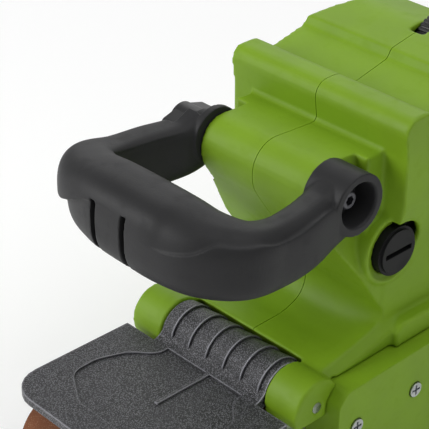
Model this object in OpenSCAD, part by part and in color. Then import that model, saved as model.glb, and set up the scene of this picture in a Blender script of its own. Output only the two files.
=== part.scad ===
// Handheld belt sander with a tilting front handle and a hinged roller cover.
// X points forward, Y to the left, Z up. Z = 0 is the sanding face, Y = 0 the parting plane.

/* [Sanding belt] */
// Width of the sanding belt
belt_w = 76; // [70:1:78]
// Length of the sanding belt
belt_len = 533; // [527:1:539]
// Thickness of the sanding belt
belt_t = 1; // [0.8:0.1:1.2]
// Radius of the front roller
roller_front_r = 19.2; // [18:0.1:19.6]
// Radius of the rear drive roller over its rubber
roller_rear_r = 23.2; // [22:0.1:23.6]

/* [Housing] */
// Wall of the housing shells
wall = 3; // [2.6:0.1:3.4]
// Half width of the upper body
body_half_w = 51; // [49:0.5:53]
// Half width of the neck
neck_half_w = 42; // [41.5:0.1:42.5]
// Half width of the nose barrel between the handle hubs
nose_half_w = 31.5; // [30:0.5:33]
// Number of slots in each vent grille
vent_count = 6; // [3:1:7]

/* [Front handle] */
// Radius of the handle hubs
hub_r = 13.6; // [13:0.1:14.2]
// Thickness of each handle hub
hub_t = 19; // [18:0.5:21]
// Distance from the handle pivot to the middle of the grip
grip_reach = 69; // [66:1:74]
// Half height of the grip
grip_half_h = 17.5; // [16:0.5:18]

/* [Roller cover] */
// Radius of the hinge barrel and ears
barrel_r = 13.2; // [12.4:0.2:13.4]
// Thickness of the cover plate
plate_t = 3.5; // [2.8:0.1:4]
// Distance from the hinge to the front edge of the cover plate
plate_reach = 84.5; // [82:0.5:90]
// Radius of the plate's front corners
plate_corner_r = 15; // [10:1:20]

/* [Drive] */
// Radius of the field core
stator_r = 38; // [37:0.5:38.5]
// Teeth of the bevel pinion
pinion_teeth = 11; // [11:1:11]
// Teeth of the crown gear
crown_teeth = 33; // [33:1:33]
// Teeth of the pulley on the cross shaft
cross_pulley_teeth = 18; // [16:1:20]
// Teeth of the pulley on the drive roller
drive_pulley_teeth = 29; // [26:1:30]

/* [Controls and outlet] */
// Width of the trigger
trigger_w = 12; // [10:0.5:13]
// Radius of the speed dial
dial_r = 12; // [11:0.5:12.5]
// Outer radius of the dust outlet
outlet_r = 17.5; // [16:0.5:18.5]
// Bore radius of the dust outlet
outlet_bore_r = 15; // [13.5:0.5:15.5]

/* [Hidden] */
$fn = 48;

green = [0.46, 0.62, 0.18];
charcoal = [0.19, 0.19, 0.2];
steel = [0.7, 0.71, 0.73];

// Clearances: a shaft that turns, a curved face that passes another, a face that slides
run = 0.05;
pass = 0.3;
slip = 0.4;

// Belt loop: both rollers touch the sanding face, so the larger one sits higher
belt_y = -12;
belt_right = belt_y - belt_w / 2;
belt_left = belt_y + belt_w / 2;
loop_front_r = roller_front_r + pass;
loop_rear_r = roller_rear_r + pass;
axle_span = (belt_len - PI * (loop_front_r + loop_rear_r + belt_t)) / 2;
front_x = axle_span / 2;
rear_x = -axle_span / 2;
front_z = loop_front_r + belt_t;
rear_z = loop_rear_r + belt_t;
loop_lean = 2 * atan((rear_z - front_z) / axle_span);

// Handle pivot, cover hinge and motor axes
pivot_x = 18;
pivot_z = 145;
hinge_x = 37;
hinge_z = 54;
motor_z = 109;
axle_r = 4;

// Housing levels and the hinge gap between the ears
floor_z = 56;
foot_right = -neck_half_w - 12;
foot_left = neck_half_w + 8;
ear_w = 19;
gap_right = foot_right + ear_w;
gap_left = foot_left - ear_w;
ear_low_z = 47.5;
hub_in = nose_half_w + slip;
hub_out = hub_in + hub_t;
far_out = 43;

// Frame casting beside and inside the belt loop
plate_in = belt_left + 3;
plate_out = plate_in + 8;
pad_low = belt_t + run;
sole_low = pad_low + 1;
block_low = sole_low + 1;
block_high = 36;
stem_r = 7;
carriage_travel = 7;

// Bevel set and the belt drive on the left
gear_m = 1;
pinion_r = gear_m * pinion_teeth / 2;
crown_r = gear_m * crown_teeth / 2;
cone_r = norm([pinion_r, crown_r]);
face_w = 6;
pinion_x = -95;
cross_x = pinion_x - crown_r;
pulley_in = neck_half_w + 2;
pulley_w = 8;
cross_pulley_r = cross_pulley_teeth / 2;
drive_pulley_r = drive_pulley_teeth / 2;
strap_t = 1.4;
cover_wall = 2.5;
cover_out = pulley_in + pulley_w + 1 + slip + 1.1 + cover_wall;
cover_in = neck_half_w + 0.4;

// Brush gear
brush_x = -12.5;
cap_in = neck_half_w - 2;

// Screws through the halves: position, whether a boss carries it, depth of the head seat
screws = [[-20, 160, true, 14], [-63, 163, true, 14], [-174, 147.5, true, 9], [-204, 88, true, 9],
    [-146, 70, true, 14], [-104, 65.5, true, 14], [-17, 65, true, 14], [1.5, 131, false, 14]];
screw_r = 1.75;
head_r = 3.5;
boss_r = 5.2;
cover_screws = [[-104, 65.5], [-62, 42], [-18, 40], [20, 40]];

function unit(v) = v / norm(v);
function flat(p) = [p[0], p[1]];

// Round one corner of an outline with an arc
function corner(a, b, c, r, n) =
    let (u = unit(a - b), w = unit(c - b))
    let (half = acos(max(-1, min(1, u * w))) / 2)
    let (m = b + unit(u + w) * (r / sin(half)))
    let (p = b + u * (r / tan(half)), q = b + w * (r / tan(half)))
    let (s = atan2(p[1] - m[1], p[0] - m[0]), e = atan2(q[1] - m[1], q[0] - m[0]))
    let (d = (e - s + 540) % 360 - 180)
    [for (i = [0:n]) m + r * [cos(s + d * i / n), sin(s + d * i / n)]];

// Outline through corners that each carry a radius
function outline(p, n = 6) =
    [for (i = [0:len(p) - 1])
        let (a = p[(i + len(p) - 1) % len(p)], b = p[i], c = p[(i + 1) % len(p)])
        each b[2] > 0 ? corner(flat(a), flat(b), flat(c), b[2], n) : [flat(b)]];

// The same corners on both sides of a middle line
function both_sides(p, m = 0) =
    concat(p, [for (i = [len(p) - 1:-1:0]) [p[i][0], 2 * m - p[i][1], p[i][2]]]);

// Smooth curve through rows of numbers
function blend(p, i, t) =
    let (n = len(p) - 1)
    let (a = p[max(i - 1, 0)], b = p[i], c = p[min(i + 1, n)], d = p[min(i + 2, n)])
    0.5 * (2 * b + (c - a) * t + (2 * a - 5 * b + 4 * c - d) * t * t + (3 * b - a - 3 * c + d) * t * t * t);
function spline(p, k) =
    [for (i = [0:len(p) - 2]) for (s = [0:k - 1]) blend(p, i, s / k), p[len(p) - 1]];

// Rounded box section
function power(v, q) = sign(v) * pow(abs(v), 2 / q);
function oval(a, b, n, q) =
    [for (i = [0:n - 1]) [a * power(cos(360 * i / n), q), b * power(sin(360 * i / n), q)]];

// Rings along a path in the parting plane: rows are x, z, half width, half height
function plane_rings(path, grow, n, q) =
    [for (i = [0:len(path) - 1])
        let (p = path[max(i - 1, 0)], s = path[min(i + 1, len(path) - 1)])
        let (t = unit([s[0] - p[0], s[1] - p[1]]), c = path[i])
        [for (o = oval(c[2] + grow, c[3] + grow, n, q)) [c[0] - o[1] * t[1], o[0], c[1] + o[1] * t[0]]]];

function quads(m, n, closed) =
    [for (j = [0:m - (closed ? 1 : 2)]) for (i = [0:n - 1])
        let (a = j * n + i, b = j * n + (i + 1) % n)
        let (c = ((j + 1) % m) * n + (i + 1) % n, d = ((j + 1) % m) * n + i)
        each [[a, d, c], [a, c, b]]];

// Solid over a row of rings, closed by a face at each end
module skin(rings) {
    n = len(rings[0]);
    m = len(rings);
    ends = [[for (i = [0:n - 1]) i], [for (i = [n - 1:-1:0]) (m - 1) * n + i]];
    polyhedron([for (r = rings) each r], concat(ends, quads(m, n, false)), convexity = 8);
}

// Tube wall between an outer and an inner row of rings
module sleeve(outer, inner) {
    back = [for (j = [len(inner) - 1:-1:0]) inner[j]];
    all = concat(outer, back);
    polyhedron([for (r = all) each r], quads(len(all), len(all[0]), true), convexity = 8);
}

// Coil spring along +X: mean radius, wire radius, turns, length
module coil(r, w, turns, length) {
    steps = turns * 8;
    rise = length - 2 * w;
    rings = [for (i = [0:steps])
        let (a = 360 * i / 8, x = w + rise * i / steps)
        [for (k = [0:5]) [x - w * sin(60 * k), (r + w * cos(60 * k)) * cos(a), (r + w * cos(60 * k)) * sin(a)]]];
    echo(coil_gap = rise / turns - 2 * w);
    skin(rings);
}

// Prism of a side view outline between two widths
module side(y0, y1) {
    translate([0, y1, 0])
        rotate([90, 0, 0])
            linear_extrude(y1 - y0)
                children();
}

// Prism of a front view outline between two lengths
module front(x0, x1) {
    translate([x0, 0, 0])
        rotate([90, 0, 90])
            linear_extrude(x1 - x0)
                children();
}

// Prism of a plan view outline between two heights
module plan(z0, z1) {
    translate([0, 0, z0])
        linear_extrude(z1 - z0)
            children();
}

module rod_x(y, z, x0, x1, r) {
    translate([x0, y, z])
        rotate([0, 90, 0])
            cylinder(h = x1 - x0, r = r);
}

module rod_y(x, z, y0, y1, r) {
    translate([x, y1, z])
        rotate([90, 0, 0])
            cylinder(h = y1 - y0, r = r);
}

module rod_z(x, y, z0, z1, r) {
    translate([x, y, z0])
        cylinder(h = z1 - z0, r = r);
}

module block(x0, x1, y0, y1, z0, z1) {
    translate([x0, y0, z0])
        cube([x1 - x0, y1 - y0, z1 - z0]);
}

// Ring about the motor axis
module motor_ring(x0, x1, r_out, r_in) {
    difference() {
        rod_x(0, motor_z, x0, x1, r_out);
        rod_x(0, motor_z, x0 - 1, x1 + 1, r_in);
    }
}

// Ball bearing as one ring about Y
module bearing_y(x, z, y0, y1, r_out, r_in) {
    difference() {
        rod_y(x, z, y0, y1, r_out);
        rod_y(x, z, y0 - 1, y1 + 1, r_in);
    }
}

// Outlines of the housing
body_side = outline([[-9.8, floor_z, 0], [-9.8, 154, 0], [-7.4, 172.5, 6.5], [-22.5, 172.5, 7],
    [-31.5, 164.6, 3], [-53, 169.4, 1.5], [-55.5, 173.5, 1.5], [-80, 178, 25], [-110, 170, 18],
    [-134, 138, 14], [-134, 92, 8], [-154, 86, 6], [-155, floor_z, 4]]);
body_front = outline([[neck_half_w + 1, 40, 0], [neck_half_w + 1, 100, 12], [body_half_w, 131, 12],
    [body_half_w, 172.5, 0], [40, 180, 0], [-40, 180, 0], [-body_half_w, 172.5, 0],
    [-body_half_w, 131, 12], [-neck_half_w - 1, 100, 12], [-neck_half_w - 1, 40, 0]]);
body_plan = outline(both_sides([[0, body_half_w, 0], [-58, body_half_w, 20], [-78, 42, 20],
    [-126, 40, 20], [-157, 32, 10]]));
cavity_plan = outline(both_sides([[30, neck_half_w, 0], [-9.8, neck_half_w, 0], [-9.8, body_half_w, 0],
    [-58, body_half_w, 20], [-78, 42, 20], [-126, 40, 20], [-157, 32, 10]]));
nose_side = outline([[-14, 66, 0], [-14, 154, 0], [28.3, 156.3, 13], [28.3, 136.6, 18], [-11.2, 75.6, 3],
    [-8, 66, 0]], 8);
nose_root = outline([[-14, 150, 0], [-14, 163, 0], [-9.2, 163, 0], [-9.8, 154.2, 2.6], [0, 154.7, 0],
    [0, 150, 0]], 5);
foot_side = outline([[-128, floor_z, 0], [-128, 68, 6], [-16, 72.6, 6], [-12, 68, 0], [-12, 60, 0],
    [22, 60, 0], [hinge_x, 60, 0], [hinge_x, ear_low_z, 0], [22, ear_low_z, 0], [19, floor_z, 0]]);
neck_front = [[neck_half_w, 40], [neck_half_w, 100], [nose_half_w, 130], [-nose_half_w, 130],
    [-neck_half_w, 100], [-neck_half_w, 40]];

// Dished top of the foot: length, height at the rims, height in the middle
foot_rows = spline([[-16, 74.8, 80], [-11.5, 73.7, 74.6], [-6.6, 72.3, 71.2], [-2.4, 71, 68.9],
    [6.6, 68.6, 65.4], [14, 67, 64.8], [22, 65.3, 64.7], [29, 63.4, 64.4]], 2);
foot_rings = [for (r = foot_rows)
    [for (q = [[neck_half_w + 4.7, 57], [neck_half_w + 4.7, r[1] - 4.7], [neck_half_w, r[1]],
        [35, r[2] * 0.6 + r[1] * 0.4],
        [24, r[2] * 0.93 + r[1] * 0.07], [10, r[2]], [-12, r[2]], [-26, r[2] * 0.93 + r[1] * 0.07],
        [-37, r[2] * 0.6 + r[1] * 0.4], [-neck_half_w - 2.3, r[1]], [-neck_half_w - 7, r[1] - 4.7],
        [-neck_half_w - 7, 57]]) [r[0], q[0], q[1]]]];
cover_side = outline([[-131, 4.5, 12], [-131, 124, 16], [-97, 126, 16], [-78, 62, 12], [26, 60, 5],
    [31, 54, 4], [31, 9, 8], [-70, 4.5, 20]]);

// Rear handle loop: x, z, half width, half height
grip_path = spline([[-88, 160, 15, 14], [-110, 161, 16.5, 16], [-138, 158, 16.5, 16.2],
    [-170, 150, 16.5, 16], [-198, 134, 16, 15.5], [-211, 112, 15.5, 15], [-206, 91, 15.5, 14.5],
    [-186, 76, 15.5, 13.5], [-156, 71, 15, 12.5], [-140, 71, 14, 12]], 3);

module neck_low() {
    intersection() {
        polygon(nose_side);
        translate([-14, 66])
            square([60, 124 - 66]);
    }
}

// Outside of both halves in one piece
module housing_outer() {
    intersection() {
        side(-70, 70) polygon(body_side);
        front(-160, 0) polygon(body_front);
        plan(0, 200) polygon(body_plan);
    }
    difference() {
        union() {
            intersection() {
                side(-neck_half_w, neck_half_w) neck_low();
                front(-20, 40) polygon(neck_front);
            }
            intersection() {
                side(3.6 - neck_half_w, neck_half_w - 3.6) polygon(nose_side);
                block(-12, 0.8, -50, 50, 104, 170);
            }
        }
        rod_y(pivot_x, pivot_z, nose_half_w, 60, hub_r + 0.9);
        rod_y(pivot_x, pivot_z, -60, -nose_half_w, hub_r + 0.9);
    }
    side(-nose_half_w, nose_half_w) polygon(nose_side);
    side(3.6 - neck_half_w, neck_half_w - 3.6) polygon(nose_root);
    rod_y(brush_x, motor_z, -neck_half_w - 2, neck_half_w + 2, 16.6);
    foot();
    skin(plane_rings(grip_path, 0, 20, 2.6));
}

// Foot with the two ears of the cover hinge
module foot() {
    difference() {
        union() {
            side(foot_right, foot_left) polygon(foot_side);
            skin(foot_rings);
            intersection() {
                rod_y(hinge_x, hinge_z, foot_right, foot_left, barrel_r);
                block(0, 60, foot_right - 1, foot_left + 1, ear_low_z, 80);
            }
        }
        block(27.2, 60, gap_right, gap_left, 40, 80);
        rod_y(hinge_x, hinge_z, gap_right, gap_left, barrel_r + 1);
    }
}

// Hollow of the shells, drawn in by a given depth
module housing_cavity(depth) {
    difference() {
        shell_hollow(depth);
        front(-10.3 - depth, 40)
            difference() {
                translate([-60, 30]) square([120, 150]);
                offset(delta = -depth) polygon(neck_front);
            }
    }
}

module shell_hollow(depth) {
    intersection() {
        side(-70, 70)
            offset(delta = -depth)
                union() {
                    polygon(body_side);
                    neck_low();
                }
        front(-170, 40)
            offset(delta = -depth)
                polygon(body_front);
        plan(0, 200)
            offset(delta = -depth)
                polygon(cavity_plan);
    }
}

module rib(x0, x1) {
    intersection() {
        housing_cavity(wall - 0.5);
        block(x0, x1, -70, 70, 0, 200);
    }
}

// Everything that stands inside the shells and carries the motor and the gears
module housing_ribs() {
    difference() {
        union() {
            rib(-4.2, 2.2);
            rib(-36, -32);
            rib(-60, -56);
            rib(-94, -86);
            block(-133, -90, 15.8, 23.2, 94, 124);
            block(-133, -90, -21.2, -13.8, 94, 124);
            block(-20.5, -4.5, 28, neck_half_w, 100, 118);
            block(-20.5, -4.5, -neck_half_w, -28, 100, 118);
            block(-91, -81, 4.3, 7.5, 162, 176);
            block(-91, -81, -7.5, -4.3, 162, 176);
            block(-119, -113, 8, 14.6, 160, 168);
            block(-119, -113, -14.6, -8, 160, 168);
            intersection() {
                union() {
                    housing_cavity(wall - 0.5);
                    skin(plane_rings(grip_path, 0.5 - wall, 20, 2.6));
                }
                for (s = screws) {
                    if (s[2]) rod_y(s[0], s[1], -80, 80, boss_r);
                }
            }
        }
        rod_x(0, motor_z, -70, -24, stator_r);
        rod_x(0, motor_z, -4.3, 2, 9.5);
        rod_x(0, motor_z, -93.5, -85, 11);
        rod_x(0, motor_z, -95, -85, 8.5);
        block(-96, -94, -60, 60, 0, 60);
        block(-17.5, -7.5, 20, neck_half_w + 0.5, 102.5, 115.5);
        block(-17.5, -7.5, -neck_half_w - 0.5, -20, 102.5, 115.5);
    }
}

// Row of upright slots in the side walls
module vents(x0, z0, length, pitch) {
    for (i = [0:vent_count - 1]) {
        front(x0 - i * pitch - 3, x0 - i * pitch)
            polygon(outline([[60, z0, 0], [60, z0 + length, 0], [30, z0 + length, 0], [30, z0, 0]]));
        front(x0 - i * pitch - 3, x0 - i * pitch)
            polygon(outline([[-30, z0, 0], [-30, z0 + length, 0], [-60, z0 + length, 0], [-60, z0, 0]]));
    }
}

// Both halves together, before they are parted
module housing() {
    difference() {
        union() {
            difference() {
                housing_outer();
                housing_cavity(wall);
                skin(plane_rings(grip_path, -wall, 20, 2.6));
            }
            housing_ribs();
        }
        rod_y(pivot_x, pivot_z, -70, 70, axle_r + run);
        rod_y(hinge_x, hinge_z, -70, 70, 2.5);
        rod_x(0, motor_z, -4.3, 2, 9.5);
        rod_y(cross_x, motor_z, -30, 30, 11);
        rod_y(cross_x, motor_z, 20, 60, 6);
        rod_y(brush_x, motor_z, neck_half_w - 2, 70, 11.7);
        rod_y(brush_x, motor_z, -70, 2 - neck_half_w, 11.7);
        rod_y(brush_x, motor_z, neck_half_w + 0.6, 70, 14.5);
        rod_y(brush_x, motor_z, -70, -neck_half_w - 0.6, 14.5);
        for (s = screws) {
            rod_y(s[0], s[1], -s[3], 10, screw_r);
            rod_y(s[0], s[1], -70, -s[3], head_r + 0.3);
        }
        side(cover_in, 70) offset(delta = slip) polygon(cover_side);
        intersection() {
            side(plate_out, 70) offset(delta = slip) polygon(cover_side);
            block(-140, 40, 0, 80, 0, floor_z);
        }
        block(-149, -104.5, -trigger_w / 2 - 0.7, trigger_w / 2 + 0.7, 125, 152);
        rod_y(-110, 150, -9.6, 9.6, 1.5);
        rod_y(-128, 159, 0, 30, 5.3);
        block(-100, -72, -4.1, 4.1, 154, 190);
        rod_y(-86, 167.5, -7.8, 7.8, 2 + run);
        rod_x(0, 104, -240, -214, 7.5);
        block(-17.5, -7.5, 20, neck_half_w + 0.5, 102.5, 115.5);
        block(-17.5, -7.5, -neck_half_w - 0.5, -20, 102.5, 115.5);
        for (s = cover_screws) {
            if (s[1] > 55) rod_y(s[0], s[1], 22, 70, screw_r);
        }
        vents(-26, 132, 22, 6);
    }
}

module housing_left() {
    color(green)
        intersection() {
            housing();
            block(-260, 80, 0, 80, 0, 220);
        }
}

module housing_right() {
    color(green)
        intersection() {
            housing();
            block(-260, 80, -80, 0, 0, 220);
        }
}

module screw_y(x, z, seat, tip) {
    difference() {
        union() {
            rod_y(x, z, seat, tip, screw_r);
            rod_y(x, z, seat - 2.6, seat, head_r);
        }
        block(x - 2.5, x + 2.5, seat - 3, seat - 1.2, z - 0.5, z + 0.5);
        block(x - 0.5, x + 0.5, seat - 3, seat - 1.2, z - 2.5, z + 2.5);
    }
}

module housing_screws() {
    color(steel)
        for (s = screws) screw_y(s[0], s[1], -s[3], 10);
}

// Long panel over the belt drive on the left
module drive_cover() {
    color(green)
        difference() {
            union() {
                difference() {
                    side(cover_in, cover_out) polygon(cover_side);
                    side(cover_in - 1, cover_out - cover_wall) offset(delta = -cover_wall) polygon(cover_side);
                }
                difference() {
                    intersection() {
                        side(plate_out + slip, cover_in + 1) polygon(cover_side);
                        block(-140, 40, 0, 60, 0, floor_z - 1);
                    }
                    side(plate_out, cover_in + 2) offset(delta = -cover_wall) polygon(cover_side);
                }
                for (s = cover_screws) {
                    rod_y(s[0], s[1], s[1] < 55 ? plate_out : cover_in, cover_out - 1, 4.5);
                }
            }
            for (s = cover_screws) {
                rod_y(s[0], s[1], 0, 70, screw_r);
                rod_y(s[0], s[1], cover_out - 1.8, 70, head_r + 0.3);
            }
        }
}

module drive_cover_screws() {
    color(steel)
        for (s = cover_screws) {
            translate([s[0], 0, s[1]])
                mirror([0, 1, 0])
                    screw_y(0, 0, 1.8 - cover_out, s[1] < 55 ? -plate_in - 3 : -26);
        }
}

// Soft grip over the rear handle, behind the trigger
module rear_grip() {
    first = 8;
    last = 15;
    outer = plane_rings(grip_path, 1.6, 20, 2.6);
    inner = plane_rings(grip_path, 0.03, 20, 2.6);
    color(charcoal)
        difference() {
            sleeve([for (i = [first:last]) outer[i]], [for (i = [first:last]) inner[i]]);
            for (s = screws) rod_y(s[0], s[1], -40, -8, head_r + 0.3);
            rod_x(0, 104, -240, -214, 9);
        }
}

// Dust box behind the drive roller with its round outlet
module dust_chute() {
    color(charcoal)
        difference() {
            union() {
                side(belt_right - 1, belt_left + 1)
                    polygon(outline([[-127, floor_z, 0], [-157, floor_z, 0], [-157, 12, 8], [-127, 9, 0]]));
                rod_x(belt_y, 34, -192, -150, outlet_r);
                rod_x(belt_y, 34, -178, -175, outlet_r + 1);
            }
            side(belt_right + 1.5, belt_left - 1.5)
                polygon(outline([[-120, floor_z - 2.5, 0], [-154.5, floor_z - 2.5, 0], [-154.5, 14, 6],
                    [-120, 11.3, 0]]));
            rod_x(belt_y, 34, -200, -150, outlet_bore_r);
        }
}

module cord_bush() {
    color(charcoal)
        difference() {
            rod_x(0, 104, -228.5, -216, 7.5);
            rod_x(0, 104, -240, -200, 4.2);
        }
}

// Cast frame: side plate, flange under the housing, and the arm inside the belt loop
module base_frame() {
    color([0.6, 0.61, 0.63])
        difference() {
            union() {
                side(plate_in, plate_out)
                    polygon(outline([[-126, 6, 8], [-126, floor_z, 0], [18, floor_z, 0], [22, 46.5, 0],
                        [78, 43, 8], [84, 10, 10], [60, 5, 0], [-100, 5, 0]]));
                block(-124, 18, belt_right, plate_in + 1, floor_z - 3.5, floor_z);
                side(belt_right + 5.2, plate_in + 1)
                    polygon(outline([[-66, block_low, 0], [-66, 26, 8], [-54, block_high, 6],
                        [64, block_high, 3], [64, block_low, 0]]));
                rod_y(rear_x, rear_z, 9.5, plate_in + 1, 14.5);
                block(50, 64, belt_right - 3.5, belt_right + 6, 6, 11.6);
                block(50, 64, belt_right - 3.5, belt_right + 6, 30.4, block_high);
            }
            rod_y(rear_x, rear_z, plate_out - 7, plate_out + 1, 11);
            rod_y(rear_x, rear_z, 9, 16.5, 11);
            rod_y(rear_x, rear_z, 0, 60, 6);
            rod_x(belt_y, front_z, 20, 70, stem_r + run);
            for (x = [-48, -22]) block(x, x + 20, belt_right, plate_in - 4, 10, 31);
            rod_z(58, belt_right, 0, 50, 2.5);
            rod_y(66, 24, plate_in - 1, plate_out + 1, 3 + run);
            for (s = cover_screws) {
                if (s[1] < 55) rod_y(s[0], s[1], plate_in - 1, plate_out + 1, screw_r);
            }
        }
}

module sole_plate() {
    color(steel)
        difference() {
            block(-74, 76, belt_right + 2, belt_left - 2, sole_low, block_low);
            for (x = [-60, 60]) rod_z(x, belt_y, 0, 10, 2.5);
        }
}

module platen_pad() {
    color([0.22, 0.22, 0.22])
        difference() {
            block(-74, 76, belt_right + 2, belt_left - 2, pad_low, sole_low);
            for (x = [-60, 60]) rod_z(x, belt_y, 0, 10, 2.5);
        }
}

// Outline of the belt loop at a given distance outside the rollers' running faces
function loop_points(d) = concat(
    [for (i = [0:30]) let (a = -90 + (180 - loop_lean) * i / 30)
        [front_x + (loop_front_r + d) * cos(a), front_z + (loop_front_r + d) * sin(a)]],
    [for (i = [0:30]) let (a = 90 - loop_lean + (180 + loop_lean) * i / 30)
        [rear_x + (loop_rear_r + d) * cos(a), rear_z + (loop_rear_r + d) * sin(a)]]);

module sanding_belt() {
    color([0.45, 0.27, 0.17])
        side(belt_right, belt_left)
            difference() {
                polygon(loop_points(belt_t));
                polygon(loop_points(0));
            }
}

// Half of the handle path from the left hub to the middle of the grip
hub_mid = hub_in + hub_t / 2;
handle_half = [[2, hub_mid, -0.5, hub_t / 2 - 0.3, 12.8, 3.2],
    [13, hub_mid + 0.5, -3.9, hub_t / 2 - 0.3, 11.9, 3.4],
    [29, hub_mid + 4, -5.6, 9.2, 13.2, 3.6], [45, hub_mid + 5.2, -5.3, 9.3, 13.5, 3.6],
    [grip_reach - 10, hub_mid + 3.2, -3, 12, 14.3, 3.4], [grip_reach - 2, hub_mid - 8, -1.8, 15, 15.8, 2.9],
    [grip_reach, hub_mid - 23, -1.2, 16, grip_half_h - 0.2, 2.8]];
handle_rows = concat(handle_half, [[grip_reach, 0, -1.2, 16, grip_half_h, 2.8]],
    [for (i = [len(handle_half) - 1:-1:0])
        [for (k = [0:5]) k == 1 ? -handle_half[i][k] : handle_half[i][k]]]);

// Belt line round the handle: place along Y, height above the pivot, set-back of the core below it
belt_line = [[-45, -3, 2.2], [-38, -3.5, 3.6], [-30, -1, 3.4], [-22, 5, 2.2], [-15, 8.5, 0.7], [-11, 9, 0.1],
    [14, 6, 0], [20, 4, -0.6], [26, 3.6, -1.3], [33, 5.8, -1.5], [40, 10, -1.3], [47, 10, -1.2]];
function belt_value(y, k) = lookup(y, [for (b = belt_line) [b[0], b[k]]]);

// Height of the belt line along the left arm, by the distance from the pivot
arm_line = [[2, 8], [13, 4.3], [45, 4.2], [grip_reach - 17, 5.7], [grip_reach - 10, 8.9], [grip_reach - 6, 10]];
function belt_height(c) = c[1] > hub_mid - 1.4 ? lookup(c[0], arm_line) : belt_value(c[1], 1);

// Rings of the handle: a cap over the belt line, and a core that is set back below it or stands out
function cap_rings(path) =
    [for (i = [0:len(path) - 1])
        let (p = path[max(i - 1, 0)], s = path[min(i + 1, len(path) - 1)], c = path[i])
        let (t = unit([s[0] - p[0], s[1] - p[1], s[2] - p[2]]))
        let (u = unit(cross([0, 0, 1], t)))
        let (v = cross(t, u))
        let (h = max(-0.7, min(0.82, (belt_height(c) - c[2]) / c[4])))
        let (a = asin(sign(h) * pow(abs(h), c[5] / 2)))
        let (b = asin(pow(0.82, c[5] / 2)))
        let (back = belt_value(c[1], 2) * lookup(c[0], [[8, 0], [24, 1]]))
        [for (k = [0:25])
            let (core = k > 13)
            let (g = core ? 183 - b + (174 + a + b) * (k - 14) / 11 : a + (180 - a - b) * k / 13)
            let (side = power(cos(g), c[5]), up = c[4] * power(sin(g), c[5]))
            let (outer = max(core ? back : -back, 0), inner = core ? min(abs(back), 0.9) : 0)
            let (across = side * (c[3] - (side > 0 ? outer : inner)))
            [c[0], c[1], c[2]] + across * u + up * v]];

module front_handle() {
    color(charcoal)
        difference() {
            union() {
                translate([pivot_x, 0, pivot_z])
                    skin(cap_rings(spline(handle_rows, 4)));
                rod_y(pivot_x, pivot_z, hub_in, hub_out, hub_r);
                rod_y(pivot_x, pivot_z, -hub_in - 3.5, -hub_in, hub_r - 0.6);
                rod_y(pivot_x, pivot_z, -far_out, -hub_in, 8.5);
            }
            rod_y(pivot_x, pivot_z, -70, 70, axle_r);
            rod_y(pivot_x, pivot_z, hub_out - 12, 70, 9.8);
            for (y = [-13.6, 4.8]) {
                translate([pivot_x + grip_reach + 9.8, y - 1.5, pivot_z - 28])
                    rotate([0, -1, 0])
                        cube([20, 3, 36.6]);
            }
            block(-30, pivot_x + 12, -hub_in, hub_in, 100, 200);
            block(-30, pivot_x + 12, hub_out, 90, 100, 200);
            block(-30, pivot_x + 15.5, -90, -far_out, 100, 200);
        }
}

module handle_bolt() {
    color(steel)
        difference() {
            union() {
                rod_y(pivot_x, pivot_z, -far_out - 8, hub_out - 11, axle_r);
                rod_y(pivot_x, pivot_z, hub_out - 12, hub_out - 8.5, axle_r + 1.2);
            }
            translate([pivot_x, hub_out - 7.5, pivot_z])
                rotate([90, 0, 0])
                    cylinder(h = 3, r = 2, $fn = 6);
        }
}

// Clamp knob with two wings on the right hub
module handle_knob() {
    color(charcoal)
        difference() {
            union() {
                rod_y(pivot_x, pivot_z, -far_out - 12, -far_out - slip, 7.5);
                side(-far_out - 11, -far_out - 2)
                    polygon(outline(both_sides([[pivot_x - 13, pivot_z + 3.6, 3], [pivot_x, pivot_z + 7.4, 14],
                        [pivot_x + 13, pivot_z + 3.6, 3]], pivot_z)));
            }
            rod_y(pivot_x, pivot_z, -far_out - 8 - slip, 0, axle_r + run);
        }
}

// Grained cover over the front roller, with a ribbed barrel between the ears
module front_cover() {
    y0 = gap_right + slip;
    y1 = gap_left - slip;
    mid = (y0 + y1) / 2;
    step = (y1 - y0) / 6;
    top = hinge_z;
    color([0.24, 0.24, 0.26])
        difference() {
            union() {
                intersection() {
                    for (i = [0:6]) {
                        translate([hinge_x, y0 + step * (i + 0.66), hinge_z])
                            rotate([90, 0, 0])
                                cylinder(h = step, r1 = barrel_r, r2 = barrel_r - 1.2);
                    }
                    side(y0, y1)
                        polygon([[hinge_x, hinge_z], [hinge_x + 30, hinge_z - 8], [hinge_x + 30, hinge_z + 30],
                            [hinge_x - 30, hinge_z + 30], [hinge_x - 30, hinge_z + 17]]);
                }
                rod_y(hinge_x, hinge_z, y0, y1, 5.6);
                side(y0, y1)
                    polygon(outline([[hinge_x + 1, top - plate_t, 0], [58, top - plate_t, 0], [58, top, 0],
                        [52, top, 9], [45, top + 7.5, 0], [hinge_x + 1, top + 7.5, 0]]));
                plan(top - plate_t, top)
                    polygon(outline(both_sides([[54, foot_right + 1, 0.6],
                        [hinge_x + plate_reach, foot_right + 1, plate_corner_r]], mid)));
            }
            rod_y(hinge_x, hinge_z, y0 - 1, y1 + 1, 2.5 + run);
            difference() {
                plan(top - 0.8, top + 9)
                    polygon(outline(both_sides([[54, mid - 23.4, 0], [59.5, mid - 23.6, 8],
                        [68.5, mid - 33.6, 14], [82, mid - 38.9, 14], [95.5, mid - 38.6, 10],
                        [107, mid - 20, 14]], mid)));
                block(50, 84, mid + 1.6, mid + 3.4, top - 2, top + 0.9);
            }
        }
}

module cover_hinge_pin() {
    color(steel)
        rod_y(hinge_x, hinge_z, foot_right + 0.5, foot_left - 0.5, 2.5);
}

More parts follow.
